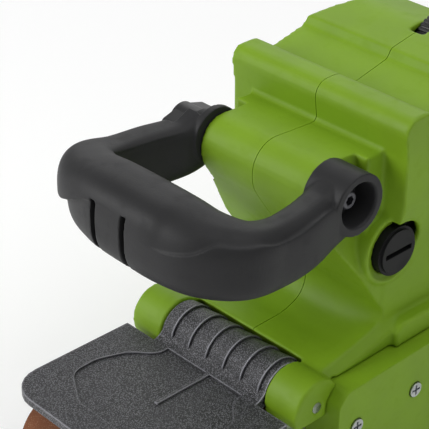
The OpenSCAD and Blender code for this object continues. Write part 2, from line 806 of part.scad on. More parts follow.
// Drive roller: cast core that reaches over the bearing boss, and its ribbed rubber
module drive_roller_core() {
    color(steel)
        difference() {
            rod_y(rear_x, rear_z, belt_right, belt_left, roller_rear_r - 3);
            rod_y(rear_x, rear_z, 8, belt_left + 1, 15.5);
            rod_y(rear_x, rear_z, belt_right - 1, 60, axle_r);
            rod_y(rear_x, rear_z, belt_right - 1, belt_right + 20, 13);
        }
}

module drive_roller_rubber() {
    color([0.1, 0.1, 0.1])
        side(belt_right, belt_left)
            difference() {
                translate([rear_x, rear_z]) circle(roller_rear_r);
                translate([rear_x, rear_z]) circle(roller_rear_r - 3);
                for (i = [0:23]) {
                    translate([rear_x, rear_z])
                        rotate(15 * i)
                            translate([roller_rear_r - 1, -0.6])
                                square([2, 1.2]);
                }
            }
}

module drive_shaft() {
    color(steel)
        rod_y(rear_x, rear_z, belt_right + 16, pulley_in + pulley_w + 1.5, axle_r);
}

module drive_bearings() {
    color(steel) {
        bearing_y(rear_x, rear_z, plate_out - 7, plate_out, 11, axle_r + run);
        bearing_y(rear_x, rear_z, 9.5, 16.5, 11, axle_r + run);
    }
}

// Toothed pulley with a flange on its outer side
module pulley(x, z, teeth) {
    r = teeth / 2;
    difference() {
        union() {
            side(pulley_in, pulley_in + pulley_w)
                translate([x, z])
                    difference() {
                        circle(r);
                        for (i = [0:teeth - 1]) {
                            rotate(360 * i / teeth)
                                translate([r - 1, -0.7])
                                    square([2, 1.4]);
                        }
                    }
            rod_y(x, z, pulley_in - 1, pulley_in, r - 1.5);
        }
        rod_y(x, z, pulley_in - 5, pulley_in + pulley_w + 5, axle_r);
    }
}

module drive_pulley() {
    color(steel)
        pulley(rear_x, rear_z, drive_pulley_teeth);
}

module cross_pulley() {
    color(steel)
        pulley(cross_x, motor_z, cross_pulley_teeth);
}

// Toothed drive belt round both pulleys
module strap_line(d) {
    hull() {
        translate([rear_x, rear_z]) circle(drive_pulley_r + d);
        translate([cross_x, motor_z]) circle(cross_pulley_r + d);
    }
}

module timing_belt() {
    color([0.08, 0.08, 0.08])
        side(pulley_in + 0.5, pulley_in + pulley_w - 0.5)
            difference() {
                strap_line(pass + strap_t);
                strap_line(pass);
            }
}

module cross_shaft() {
    color(steel)
        rod_y(cross_x, motor_z, -21, pulley_in + pulley_w + 1.5, axle_r);
}

module cross_bearings() {
    color(steel) {
        bearing_y(cross_x, motor_z, 16, 23, 11, axle_r + run);
        bearing_y(cross_x, motor_z, -21, -14, 11, axle_r + run);
    }
}

// Bevel gear about +Z with its cone point at the origin: teeth, cone angle, backs of the two faces
function involute(r, base) = let (a = acos(min(1, base / r))) tan(a) * 180 / PI - a;
function flank(h, teeth, lean) =
    let (rv = cone_r * tan(lean), base = rv * cos(20))
    let (half = 90 * cos(lean) / teeth * 0.9 + involute(rv, base) - involute(max(rv + h, base), base))
    [lean + atan(h / cone_r), half / cos(lean)];
heights = [-1.25 * gear_m, -0.35 * gear_m, 0.35 * gear_m, 0.85 * gear_m];
function tooth_line(teeth, lean, phase) =
    [for (k = [0:teeth - 1])
        let (c = phase + 360 * k / teeth)
        each concat([for (h = heights) let (f = flank(h, teeth, lean)) [f[0], c - f[1]]],
            [for (i = [3:-1:0]) let (f = flank(heights[i], teeth, lean)) [f[0], c + f[1]]])];
function on_ball(r, g) = r * [sin(g[0]) * cos(g[1]), sin(g[0]) * sin(g[1]), cos(g[0])];

module bevel(teeth, lean, phase, low, high) {
    line = tooth_line(teeth, lean, phase);
    n = len(line);
    ends = concat([for (g = line) on_ball(cone_r - face_w, g)], [for (g = line) on_ball(cone_r, g)]);
    fans = [for (i = [0:n - 1]) each [[2 * n, i, (i + 1) % n], [2 * n + 1, n + (i + 1) % n, n + i]]];
    polyhedron(concat(ends, [[0, 0, low], [0, 0, high]]), concat(quads(2, n, false), fans), convexity = 8);
}

module crown_gear() {
    color(steel)
        difference() {
            union() {
                translate([cross_x, 0, motor_z])
                    rotate([-90, 0, 0])
                        bevel(crown_teeth, atan(crown_teeth / pinion_teeth), 0, 4, 9);
                rod_y(cross_x, motor_z, 6, 15, 8);
            }
            rod_y(cross_x, motor_z, -5, 30, axle_r);
        }
}

module bevel_pinion() {
    color(steel)
        union() {
            translate([cross_x, 0, motor_z])
                rotate([0, 90, 0])
                    bevel(pinion_teeth, atan(pinion_teeth / crown_teeth), 90 - 180 / pinion_teeth, 10.5,
                        crown_r);
            translate([pinion_x - 1, 0, motor_z])
                rotate([0, 90, 0])
                    cylinder(h = 2, r = 3.6, $fn = 12);
        }
}

module armature_shaft() {
    color(steel)
        rod_x(0, motor_z, pinion_x + 1, 1.8, axle_r);
}

module armature_core() {
    color([0.5, 0.5, 0.52])
        front(-66, -24)
            translate([0, motor_z])
                difference() {
                    circle(22);
                    circle(axle_r);
                    for (i = [0:11]) {
                        rotate(30 * i)
                            translate([15, -1.5])
                                square([10, 3]);
                    }
                }
}

module armature_windings() {
    color([0.72, 0.4, 0.2]) {
        motor_ring(-72, -66, 19, 6);
        motor_ring(-24, -20, 19, 6);
    }
}

module commutator() {
    color([0.75, 0.5, 0.3])
        front(-19, -6.5)
            translate([0, motor_z])
                difference() {
                    circle(12);
                    circle(axle_r);
                    for (i = [0:23]) {
                        rotate(15 * i)
                            translate([10.5, -0.25])
                                square([3, 0.5]);
                    }
                }
}

module motor_fan() {
    color([0.15, 0.15, 0.16])
        difference() {
            union() {
                rod_x(0, motor_z, -84, -74.5, 9);
                rod_x(0, motor_z, -77, -75, 35);
                for (i = [0:11]) {
                    translate([-84, 0, motor_z])
                        rotate([30 * i, 0, 0])
                            translate([0, 8, -0.8])
                                cube([7.5, 26, 1.6]);
                }
            }
            rod_x(0, motor_z, -90, -70, axle_r);
        }
}

module motor_bearings() {
    color(steel) {
        motor_ring(-4, 2, 9.5, axle_r + run);
        motor_ring(-93.5, -86.5, 11, axle_r + run);
    }
}

module stator_core() {
    color([0.45, 0.45, 0.47])
        front(-66, -24)
            translate([0, motor_z])
                difference() {
                    circle(stator_r);
                    circle(23);
                    for (s = [-1, 1]) translate([s * 24 - 7.5, -18]) square([15, 36]);
                }
}

module field_coils() {
    color([0.7, 0.38, 0.18])
        front(-71, -21.5)
            translate([0, motor_z])
                for (s = [0, 180]) {
                    rotate(s)
                        intersection() {
                            difference() {
                                circle(30.6);
                                circle(24);
                            }
                            polygon([[0, 0], [40, -26], [40, 26]]);
                        }
                }
}

module at_brush(s) {
    translate([brush_x, 0, motor_z])
        rotate([0, 0, s > 0 ? 0 : 180])
            children();
}

module brush_holders() {
    color([0.75, 0.6, 0.3])
        for (s = [-1, 1]) {
            at_brush(s)
                difference() {
                    block(-5, 5, 14, cap_in, -6.5, 6.5);
                    block(-3.7, 3.7, 13, cap_in + 1, -5.2, 5.2);
                }
        }
}

module carbon_brushes() {
    color([0.12, 0.12, 0.12])
        for (s = [-1, 1]) at_brush(s) block(-3.5, 3.5, 12.4, 29, -5, 5);
}

module brush_springs() {
    color(steel)
        for (s = [-1, 1]) {
            at_brush(s)
                translate([0, 29, 0])
                    rotate([0, 0, 90])
                        coil(2.6, 0.45, 5, cap_in - 29);
        }
}

// Screw caps over the brushes, with a slot for a driver
module brush_caps() {
    color(charcoal)
        for (s = [-1, 1]) {
            at_brush(s)
                difference() {
                    union() {
                        rod_y(0, 0, cap_in, cap_in + 6, 11.5);
                        rod_y(0, 0, cap_in + 6, cap_in + 7.2, 10.2);
                    }
                    block(-8, 8, cap_in + 5, cap_in + 10, -1.2, 1.2);
                }
        }
}

// Fork that carries the front axle on a sprung stem
module tension_carriage() {
    color([0.55, 0.56, 0.58])
        difference() {
            union() {
                for (y = [belt_right, belt_left - 3.8]) {
                    side(y, y + 3.8)
                        polygon(outline([[72, front_z - 8.5, 0], [front_x + 8.5, front_z - 8.5, 8],
                            [front_x + 8.5, front_z + 8.5, 8], [72, front_z + 8.5, 0]]));
                }
                block(72, 76.5, belt_right, belt_left, front_z - 8.5, front_z + 8.5);
                rod_x(belt_y, front_z, 42, 73, stem_r);
            }
            rod_y(front_x, front_z, -60, 60, axle_r);
            rod_x(belt_y, front_z, 40, 46, 3.4);
        }
}

module front_axle() {
    color(steel)
        rod_y(front_x, front_z, belt_right, belt_left, axle_r);
}

module front_roller() {
    color(steel)
        difference() {
            rod_y(front_x, front_z, belt_right + 4.3, belt_left - 4.3, roller_front_r);
            rod_y(front_x, front_z, belt_right, belt_left, 8);
            rod_y(front_x, front_z, belt_right, belt_right + 11.3, 11);
            rod_y(front_x, front_z, belt_left - 11.3, belt_left, 11);
        }
}

module front_roller_bearings() {
    color(steel) {
        bearing_y(front_x, front_z, belt_right + 4.3, belt_right + 11.3, 11, axle_r + run);
        bearing_y(front_x, front_z, belt_left - 11.3, belt_left - 4.3, 11, axle_r + run);
    }
}

module tension_spring() {
    color(steel)
        translate([20, belt_y, front_z])
            coil(5.4, 0.8, 6, 22);
}

// Lever that lies along the right side and swings out to slacken the belt
module tension_lever() {
    color(charcoal)
        difference() {
            union() {
                plan(12, 30)
                    polygon(outline([[58, belt_right - 4.4, 0], [58, belt_right - 0.8, 0],
                        [20, belt_right - 0.8, 0], [2, belt_right - 1.8, 1], [0, belt_right - 4.2, 1]]));
                rod_z(58, belt_right, 12, 30, 4.6);
            }
            rod_z(58, belt_right, 0, 50, 2.5 + run);
            for (i = [0:3]) rod_z(6 + 6 * i, belt_right - 5, 10, 32, 1.2);
        }
}

module lever_pin() {
    color(steel)
        rod_z(58, belt_right, 6, block_high, 2.5);
}

// Knob that sets how the belt tracks
module tracking_knob() {
    color(charcoal)
        difference() {
            union() {
                side(plate_out + 2, plate_out + 13)
                    translate([66, 24])
                        difference() {
                            circle(10);
                            for (i = [0:11]) {
                                rotate(30 * i)
                                    translate([10.6, 0])
                                        circle(1.5);
                            }
                        }
                rod_y(66, 24, plate_in - 1, plate_out + 3, 3);
            }
            block(59, 73, plate_out + 11.5, plate_out + 15, 23.2, 24.8);
        }
}

module trigger() {
    color(charcoal)
        difference() {
            side(-trigger_w / 2, trigger_w / 2)
                polygon(outline([[-106.5, 153.5, 2], [-140, 151.5, 3], [-147, 147, 3], [-145.5, 137, 4],
                    [-137, 131.5, 5], [-123, 135, 14], [-111, 143, 6], [-106.5, 146, 2]]));
            rod_y(-110, 150, -20, 20, 1.5 + run);
        }
}

module trigger_pin() {
    color(steel)
        rod_y(-110, 150, -9.6, 9.6, 1.5);
}

module lock_button() {
    color([0.75, 0.2, 0.12])
        union() {
            rod_y(-128, 159, 11, 19, 5);
            rod_y(-128, 159, 11, 12.4, 6.4);
        }
}

module speed_dial() {
    color(charcoal)
        union() {
            side(-3.5, 3.5)
                translate([-86, 167.5])
                    difference() {
                        circle(dial_r);
                        for (i = [0:29]) {
                            rotate(12 * i)
                                translate([dial_r, 0])
                                    circle(0.7, $fn = 8);
                        }
                    }
            rod_y(-86, 167.5, -7, 7, 2);
        }
}

module switch_body() {
    color([0.1, 0.1, 0.1])
        union() {
            block(-133, -112, -8, 8, 158.5, 169);
            block(-124, -121, -2, 2, 156.5, 159);
        }
}

housing_left();
housing_right();
housing_screws();
drive_cover();
drive_cover_screws();
rear_grip();
dust_chute();
cord_bush();
base_frame();
sole_plate();
platen_pad();
sanding_belt();
front_handle();
handle_bolt();
handle_knob();
front_cover();
cover_hinge_pin();
drive_roller_core();
drive_roller_rubber();
drive_shaft();
drive_bearings();
drive_pulley();
timing_belt();
cross_pulley();
cross_shaft();
cross_bearings();
crown_gear();
bevel_pinion();
armature_shaft();
armature_core();
armature_windings();
commutator();
motor_fan();
motor_bearings();
stator_core();
field_coils();
brush_holders();
carbon_brushes();
brush_springs();
brush_caps();
tension_carriage();
front_axle();
front_roller();
front_roller_bearings();
tension_spring();
tension_lever();
lever_pin();
tracking_knob();
trigger();
trigger_pin();
lock_button();
speed_dial();
switch_body();
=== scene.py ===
"""Looks of a handheld belt sander: moulded shells, tilting handle, roller cover, belt and drive.

Lengths are in metres in the part's own frame: +X forward, +Y to the tool's left, +Z up, with the
sanding face at Z = 0. Sizes of the pieces are given in millimetres and turned into metres by MM.
"""

from __future__ import annotations

import logging
import math
from collections.abc import Iterable, Iterator, Sequence
from contextlib import contextmanager
from dataclasses import dataclass
from enum import Enum
from typing import Any

import bmesh
import bpy
import numpy as np
from mathutils import Matrix, Vector


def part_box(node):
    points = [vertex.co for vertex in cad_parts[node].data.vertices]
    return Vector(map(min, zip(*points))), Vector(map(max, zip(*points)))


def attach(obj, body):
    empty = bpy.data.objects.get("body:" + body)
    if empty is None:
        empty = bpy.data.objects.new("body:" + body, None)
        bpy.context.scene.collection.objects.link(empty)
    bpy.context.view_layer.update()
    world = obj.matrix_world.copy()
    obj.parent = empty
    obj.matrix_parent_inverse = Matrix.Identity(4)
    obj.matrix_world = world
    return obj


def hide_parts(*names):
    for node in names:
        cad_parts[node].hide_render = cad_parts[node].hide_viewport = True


MM = 0.001
Colour = tuple[float, float, float]
Point = tuple[float, float, float]
Pair = tuple[float, float]
Ring = list[Vector]
Skin = tuple[list[Vector], list[list[int]]]
Inputs = dict[str | int, Any]

# Settings that the shader graphs share; the Mix node's sockets go by number, as their names repeat
EDGE_SAMPLES = 6
NOISE_ROUGHNESS = 0.55
CELL_SMOOTHNESS = 0.5
MIX_FACTOR, MIX_FIRST, MIX_SECOND, MIX_RESULT = 0, 6, 7, 2

# Strength of one smoothing pass, and the steps in which a softer zone fades out
SMOOTH_FACTOR = 0.5
ZONE_LEVELS = 8

# Distance below which corners are welded, and the piece of a path that its direction is taken from
WELD = 0.002 * MM
PATH_STEP = 0.05

# Corners in millimetres of a box that is larger than the tool, for cutting off what is beyond a plane
CUT_LOW = (-300.0, -90.0, -50.0)
CUT_HIGH = (200.0, 90.0, 300.0)

log = logging.getLogger("belt_sander")
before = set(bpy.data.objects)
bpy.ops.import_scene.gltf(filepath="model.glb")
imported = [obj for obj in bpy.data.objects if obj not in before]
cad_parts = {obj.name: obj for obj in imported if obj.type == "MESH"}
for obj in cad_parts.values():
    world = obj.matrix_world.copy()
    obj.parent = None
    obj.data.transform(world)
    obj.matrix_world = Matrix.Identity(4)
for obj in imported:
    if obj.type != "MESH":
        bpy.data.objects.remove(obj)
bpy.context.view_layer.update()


class Body(Enum):
    """Rigid bodies of the tool that new pieces ride on."""

    HOUSING = "housing"
    HANDLE = "handle"


class Side(Enum):
    """Halves of the housing."""

    LEFT = "left"
    RIGHT = "right"


# Shader graphs


@dataclass(frozen=True)
class Sock:
    """An output of a shader node, with arithmetic that adds Math nodes.

    Attributes:
        graph: the graph that it belongs to.
        socket: Blender's own socket.
    """

    graph: Graph
    socket: Any

    def __add__(self, other: Value) -> Sock:
        """Sum of two values."""
        return self.graph.math("ADD", self, other)

    def __radd__(self, other: Value) -> Sock:
        """Sum with a number on the left."""
        return self.graph.math("ADD", other, self)

    def __sub__(self, other: Value) -> Sock:
        """Difference of two values."""
        return self.graph.math("SUBTRACT", self, other)

    def __rsub__(self, other: Value) -> Sock:
        """Difference from a number on the left."""
        return self.graph.math("SUBTRACT", other, self)

    def __mul__(self, other: Value) -> Sock:
        """Product of two values."""
        return self.graph.math("MULTIPLY", self, other)

    def __rmul__(self, other: Value) -> Sock:
        """Product with a number on the left."""
        return self.graph.math("MULTIPLY", other, self)

    def __truediv__(self, other: Value) -> Sock:
        """Quotient of two values."""
        return self.graph.math("DIVIDE", self, other)

    def __rtruediv__(self, other: Value) -> Sock:
        """Quotient of a number on the left."""
        return self.graph.math("DIVIDE", other, self)

    def between(self, low: float, high: float) -> Sock:
        """Smooth rise from 0 at one value to 1 at another.

        Args:
            low: value that gives 0.
            high: value that gives 1.

        Returns:
            The risen value, held within 0 and 1.
        """
        return self.graph.node(
            "ShaderNodeMapRange",
            {"interpolation_type": "SMOOTHSTEP"},
            {"Value": self, "From Min": low, "From Max": high},
        )


Value = Sock | float


@dataclass
class Graph:
    """Node tree of one material or of the sky.

    Attributes:
        tree: Blender's own node tree.
    """

    tree: bpy.types.NodeTree

    def node(
        self,
        kind: str,
        settings: dict[str, Any] | None = None,
        inputs: Inputs | None = None,
        out: str | int = 0,
    ) -> Sock:
        """Adds one node.

        Args:
            kind: Blender's name of the node's type.
            settings: properties that are set first.
            inputs: socket name or number, with a number, a colour or a link for each.
            out: name or number of the output that is wanted.

        Returns:
            That output.
        """
        made = self.tree.nodes.new(kind)
        for key, value in (settings or {}).items():
            setattr(made, key, value)
        for key, value in (inputs or {}).items():
            if isinstance(value, Sock):
                self.tree.links.new(value.socket, made.inputs[key])
            else:
                made.inputs[key].default_value = value
        return Sock(self, made.outputs[out])

    def math(self, operation: str, a: Value, b: Value) -> Sock:
        """One Math node on two values."""
        return self.node("ShaderNodeMath", {"operation": operation}, {0: a, 1: b})

    def place(self, stretch: Point = (1.0, 1.0, 1.0)) -> Sock:
        """Position on the piece in metres, stretched along its axes.

        Args:
            stretch: factor for each axis.

        Returns:
            A vector.
        """
        spot = self.node("ShaderNodeTexCoord", out="Object")
        if stretch == (1.0, 1.0, 1.0):
            return spot
        return self.node("ShaderNodeVectorMath", {"operation": "MULTIPLY"}, {0: spot, 1: stretch})

    def noise(self, size: float, detail: float = 3.0, stretch: Point = (1.0, 1.0, 1.0)) -> Sock:
        """Soft random pattern.

        Args:
            size: size of its patches in metres.
            detail: number of finer layers.
            stretch: factor for each axis.

        Returns:
            A value around 0.5.
        """
        return self.node(
            "ShaderNodeTexNoise",
            {},
            {
                "Vector": self.place(stretch),
                "Scale": 1.0 / size,
                "Detail": detail,
                "Roughness": NOISE_ROUGHNESS,
            },
        )

    def cells(self, size: float, spread: float = 1.0) -> Sock:
        """Distance to the middle of the nearest cell.

        Args:
            size: size of a cell in metres.
            spread: how irregular the cells are, from 0 to 1.

        Returns:
            A value from 0 in the middle of a cell.
        """
        return self.node(
            "ShaderNodeTexVoronoi",
            {"feature": "SMOOTH_F1"},
            {
                "Vector": self.place(),
                "Scale": 1.0 / size,
                "Smoothness": CELL_SMOOTHNESS,
                "Randomness": spread,
            },
        )

    def mix(self, factor: Value, a: Sock | Colour, b: Sock | Colour) -> Sock:
        """Blend of two colours.

        Args:
            factor: 0 for the first colour, 1 for the second.
            a: first colour.
            b: second colour.

        Returns:
            The blended colour.
        """
        ends = [c if isinstance(c, Sock) else (*c, 1.0) for c in (a, b)]
        inputs = {MIX_FACTOR: factor, MIX_FIRST: ends[0], MIX_SECOND: ends[1]}
        return self.node("ShaderNodeMix", {"data_type": "RGBA"}, inputs, out=MIX_RESULT)

    def dot(self, a: Sock, b: Sock | Point) -> Sock:
        """Scalar product of two vectors."""
        return self.node(
            "ShaderNodeVectorMath", {"operation": "DOT_PRODUCT"}, {0: a, 1: b}, out="Value"
        )

    def rounded(self, radius: float) -> Sock:
        """Normal of the surface with its edges rounded to a radius in metres."""
        return self.node("ShaderNodeBevel", {"samples": EDGE_SAMPLES}, {"Radius": radius})

    def edges(self, radius: float, strength: float) -> Sock:
        """Mask of the edges of a piece.

        Args:
            radius: reach of an edge in metres.
            strength: how sharply the mask rises.

        Returns:
            1 on an edge and 0 on a plain face.
        """
        face = self.node("ShaderNodeNewGeometry", out="Normal")
        return ((1.0 - self.dot(self.rounded(radius), face)) * strength).between(0.0, 1.0)

    def hollows(self, reach: float, inside: bool = False) -> Sock:
        """Mask of corners that other faces close in.

        Args:
            reach: how far the faces are looked for, in metres.
            inside: whether outer edges are wanted instead of inner corners.

        Returns:
            1 deep in a corner, or on a thin outer edge, and 0 on open faces.
        """
        settings = {"samples": EDGE_SAMPLES, "inside": inside, "only_local": True}
        open_share = self.node(
            "ShaderNodeAmbientOcclusion", settings, {"Distance": reach}, out="AO"
        )
        return 1.0 - open_share

    def facing(self, normal: Sock, way: Point) -> Sock:
        """How far a normal turns towards a direction.

        Args:
            normal: the normal.
            way: direction of length 1 in the piece's own frame.

        Returns:
            1 for a normal along the direction, 0 for one across it.
        """
        settings = {"vector_type": "NORMAL", "convert_from": "WORLD", "convert_to": "OBJECT"}
        return self.dot(self.node("ShaderNodeVectorTransform", settings, {0: normal}), way)

    def bump(self, height: Value, depth: float, normal: Sock | None = None) -> Sock:
        """Relief on the surface.

        Args:
            height: pattern from 0 to 1.
            depth: height of the relief in metres.
            normal: normal that the relief stands on, if it isn't the surface's own.

        Returns:
            The new normal.
        """
        inputs: Inputs = {"Height": height, "Distance": depth, "Strength": 1.0}
        if normal is not None:
            inputs["Normal"] = normal
        return self.node("ShaderNodeBump", {}, inputs)


# Finishes


@dataclass(frozen=True)
class Finish:
    """A surface finish that paints one material.

    Attributes:
        name: name of the material.
        slot: material slot of the part's record.
        colour: main colour, linear.
        rough: main roughness.
        edge: radius in metres that edges are rounded to in shading, or 0.
        relief: depth of the surface's fine relief in metres.
    """

    name: str
    slot: str
    colour: Colour
    rough: float
    edge: float = 0.5 * MM
    relief: float = 0.0

    def material(self) -> bpy.types.Material:
        """The finish's material, made at its first use.

        Returns:
            The material.
        """
        found = bpy.data.materials.get(self.name)
        if found is not None:
            return found
        made = bpy.data.materials.new(self.name)
        made.use_nodes = True
        made.node_tree.nodes.clear()
        graph = Graph(made.node_tree)
        shader = graph.node("ShaderNodeBsdfPrincipled", {}, self.sockets(graph))
        output = made.node_tree.nodes.new("ShaderNodeOutputMaterial")
        made.node_tree.links.new(shader.socket, output.inputs["Surface"])
        return made

    def base_normal(self, graph: Graph) -> Sock | None:
        """Normal with rounded edges, or none where the mesh has its own rounding."""
        return graph.rounded(self.edge) if self.edge > 0 else None

    def shade(self, factor: float) -> Colour:
        """The main colour made lighter or darker by a factor."""
        return tuple(c * factor for c in self.colour)

    def surface(self, graph: Graph, tone: Sock, rough: Value, height: Value, **more: float) -> Inputs:
        """The sockets that every finish sets, and some more.

        Args:
            graph: the material's graph.
            tone: colour of the surface.
            rough: roughness of the surface.
            height: pattern of the fine relief, from 0 to 1.
            more: other sockets by their names, with _ for each space.

        Returns:
            Values and links of the surface shader's sockets.
        """
        normal = graph.bump(height, self.relief, self.base_normal(graph))
        others = {name.replace("_", " "): value for name, value in more.items()}
        return {"Base Color": tone, "Roughness": rough, "Normal": normal, **others}

    def sockets(self, graph: Graph) -> Inputs:
        """Values and links of the surface shader's sockets."""
        raise NotImplementedError


@dataclass(frozen=True)
class MouldedPlastic(Finish):
    """Injection moulded plastic with a fine spark texture, faint flow clouds and lightened edges.

    The lightened edges are partly wear and partly a painted highlight. Where corners are set, inner
    corners get painted shade and thin outer corners a painted highlight.

    Attributes:
        texture: size of the spark texture in metres.
        edge_highlight_and_wear: brightness of the lightened edges, partly wear and partly a painted
            highlight.
        gloss: strength of the reflections.
        corners: reach of the painted shade and the rougher, matt layer in inner corners, in metres, or
            0 for none.
        dust_and_shade: brightness of the painted shade in inner corners.
        wear_and_highlight: brightness of the painted highlight on thin outer corners that goes with
            the painted shade.
        cloud: size of the flow clouds in metres.
        grime: size of the grime's patches in metres.
    """

    texture: float = 0.35 * MM
    relief: float = 0.012 * MM
    edge_highlight_and_wear: float = 1.18
    gloss: float = 0.5
    corners: float = 0.0
    dust_and_shade: float = 0.55
    wear_and_highlight: float = 1.35
    cloud: float = 28 * MM
    grime: float = 7 * MM

    def sockets(self, graph: Graph) -> Inputs:
        """Values and links of the surface shader's sockets.

        Args:
            graph: the material's graph.

        Returns:
            The sockets by name.
        """
        clouds = graph.noise(self.cloud, 3.0)
        grime = graph.noise(self.grime, 5.0).between(0.5, 0.72)
        grain = graph.noise(self.texture, 2.0)
        tone = graph.mix(clouds.between(0.3, 0.7), self.shade(0.93), self.shade(1.05))
        tone = graph.mix(grime * 0.22, tone, self.shade(0.8))
        if self.edge > 0:
            # Edges are lightened: partly wear, partly a painted highlight where edges catch the light.
            rim = graph.edges(self.edge * 1.6, 5.0)
            tone = graph.mix(rim * 0.5, tone, self.shade(self.edge_highlight_and_wear))
        rough = self.rough + (clouds - 0.5) * 0.1 + grime * 0.07 + (grain - 0.5) * 0.06
        if self.corners > 0:
            # Inner corners get painted shade in their colour, and a rougher, matt layer.
            shade_and_dull_film = graph.hollows(self.corners).between(0.12, 0.5)
            tone = graph.mix(shade_and_dull_film * 0.55, tone, self.shade(self.dust_and_shade))
            rough = rough + shade_and_dull_film * 0.25
            # Thin outer corners get a painted highlight.
            bright = graph.hollows(self.corners * 0.45, inside=True).between(0.2, 0.5)
            tone = graph.mix(bright * 0.4, tone, self.shade(self.wear_and_highlight))
        return self.surface(graph, tone, rough, grain, Specular_IOR_Level=self.gloss)


@dataclass(frozen=True)
class GrainedPlastic(Finish):
    """Pebble grained plastic whose grain tops and edges are made glossier by handling.

    The grain's tops are lightened and its valleys darkened, partly as the grain's own tone and partly
    as painted sparkle and painted shade; inner corners get painted shade, and edges that face one
    way a painted highlight.

    Attributes:
        pebble: size of a pebble in metres.
        fine: size of the fine grain on it in metres.
        cloud: size of the darker, rougher clouds in metres.
        reach: reach of the painted corner shade and edge highlight, in metres.
        brim: radius in metres over which an edge with the painted highlight turns.
        edge_highlight: brightness of the painted highlight on edges.
        highlight_way: direction in the part's frame that the edges with the painted highlight face.
    """

    pebble: float = 0.62 * MM
    fine: float = 0.5 * MM
    relief: float = 0.36 * MM
    cloud: float = 18 * MM
    reach: float = 1.2 * MM
    brim: float = 1.0 * MM
    edge_highlight: float = 6.0
    highlight_way: Point = (0.5, 0.6, 0.62)

    def sockets(self, graph: Graph) -> Inputs:
        """Values and links of the surface shader's sockets.

        Args:
            graph: the material's graph.

        Returns:
            The sockets by name.
        """
        pebbles = graph.cells(self.pebble)
        height = (1.0 - pebbles) * 0.7 + graph.noise(self.fine, 2.0) * 0.6
        tops = height.between(0.6, 0.9)
        clouds = graph.noise(self.cloud, 3.0).between(0.35, 0.7)
        # Tops of the grain are lightened and its valleys darkened: partly the grain's own tone, partly
        # painted sparkle and painted shade.
        tone = graph.mix(tops, self.shade(0.2), self.shade(2.3))
        tone = graph.mix(clouds * 0.3, tone, self.shade(0.7))
        # Inner corners get painted shade.
        deep = graph.hollows(self.reach).between(0.15, 0.55)
        tone = graph.mix(deep * 0.8, tone, self.shade(0.2))
        # Edges that face one way get a painted highlight; their lower roughness comes from handling.
        wear_and_highlight = graph.hollows(self.reach, inside=True).between(0.15, 0.45)
        wear_and_highlight = wear_and_highlight * graph.facing(graph.rounded(self.brim), self.highlight_way).between(0.3, 0.9)
        tone = graph.mix(wear_and_highlight * 0.8, tone, self.shade(self.edge_highlight))
        rough = self.rough - tops * 0.12 + clouds * 0.05 - wear_and_highlight * 0.08
        return self.surface(graph, tone, rough, height, Specular_IOR_Level=0.5)


@dataclass(frozen=True)
class Rubber(Finish):
    """Matt rubber with a dusty bloom and a fine pimpled surface.

    Attributes:
        pimple: size of a pimple in metres.
        bloom: size of the patches of dust in metres.
    """

    pimple: float = 1.3 * MM
    relief: float = 0.06 * MM
    bloom: float = 9 * MM

    def sockets(self, graph: Graph) -> Inputs:
        """Values and links of the surface shader's sockets.

        Args:
            graph: the material's graph.

        Returns:
            The sockets by name.
        """
        pimples = 1.0 - graph.cells(self.pimple, 0.35)
        bloom = graph.noise(self.bloom, 4.0).between(0.42, 0.75)
        tone = graph.mix(bloom * 0.6, self.colour, self.shade(1.9))
        rough = self.rough + bloom * 0.12
        return self.surface(graph, tone, rough, pimples, Specular_IOR_Level=0.3)


@dataclass(frozen=True)
class CastMetal(Finish):
    """Die cast metal: a frosted skin with flow marks, pits and bright edges where the skin wears away.

    Attributes:
        frost: size of the frosted grain in metres.
        flow: size of the flow marks in metres.
        pit: spacing of the pits in metres.
    """

    frost: float = 0.7 * MM
    flow: float = 14 * MM
    pit: float = 2.4 * MM
    relief: float = 0.03 * MM

    def sockets(self, graph: Graph) -> Inputs:
        """Values and links of the surface shader's sockets.

        Args:
            graph: the material's graph.

        Returns:
            The sockets by name.
        """
        skin = graph.noise(self.frost, 3.0)
        flow = graph.noise(self.flow, 4.0, (1.0, 1.0, 2.5)).between(0.35, 0.7)
        pits = graph.noise(self.pit, 2.0).between(0.66, 0.74)
        wear_and_highlight = graph.edges(self.edge, 5.0)
        tone = graph.mix(flow, self.shade(0.82), self.shade(1.05))
        tone = graph.mix(pits * 0.6, tone, self.shade(0.45))
        tone = graph.mix(wear_and_highlight * 0.7, tone, self.shade(1.25))
        rough = self.rough + flow * 0.08 - wear_and_highlight * 0.15 + (skin - 0.5) * 0.1
        return self.surface(graph, tone, rough, skin - pits * 0.6, Metallic=1.0)


@dataclass(frozen=True)
class TurnedMetal(Finish):
    """Machined metal with fine tool marks round an axis and a thin film of dust.

    Attributes:
        lay: stretch of the tool marks along each axis.
        mark: width of the tool marks in metres.
        dust: size of the patches of dust in metres.
    """

    lay: Point = (0.04, 1.0, 0.04)
    mark: float = 0.22 * MM
    relief: float = 0.008 * MM
    dust: float = 6 * MM

    def sockets(self, graph: Graph) -> Inputs:
        """Values and links of the surface shader's sockets.

        Args:
            graph: the material's graph.

        Returns:
            The sockets by name.
        """
        marks = graph.noise(self.mark, 2.0, self.lay)
        dust_and_shade = graph.noise(self.dust, 4.0).between(0.45, 0.75)
        tone = graph.mix(marks.between(0.3, 0.7), self.shade(0.86), self.shade(1.08))
        tone = graph.mix(dust_and_shade * 0.3, tone, self.shade(0.62))
        rough = self.rough + (marks - 0.5) * 0.18 + dust_and_shade * 0.14
        return self.surface(graph, tone, rough, marks, Metallic=1.0)


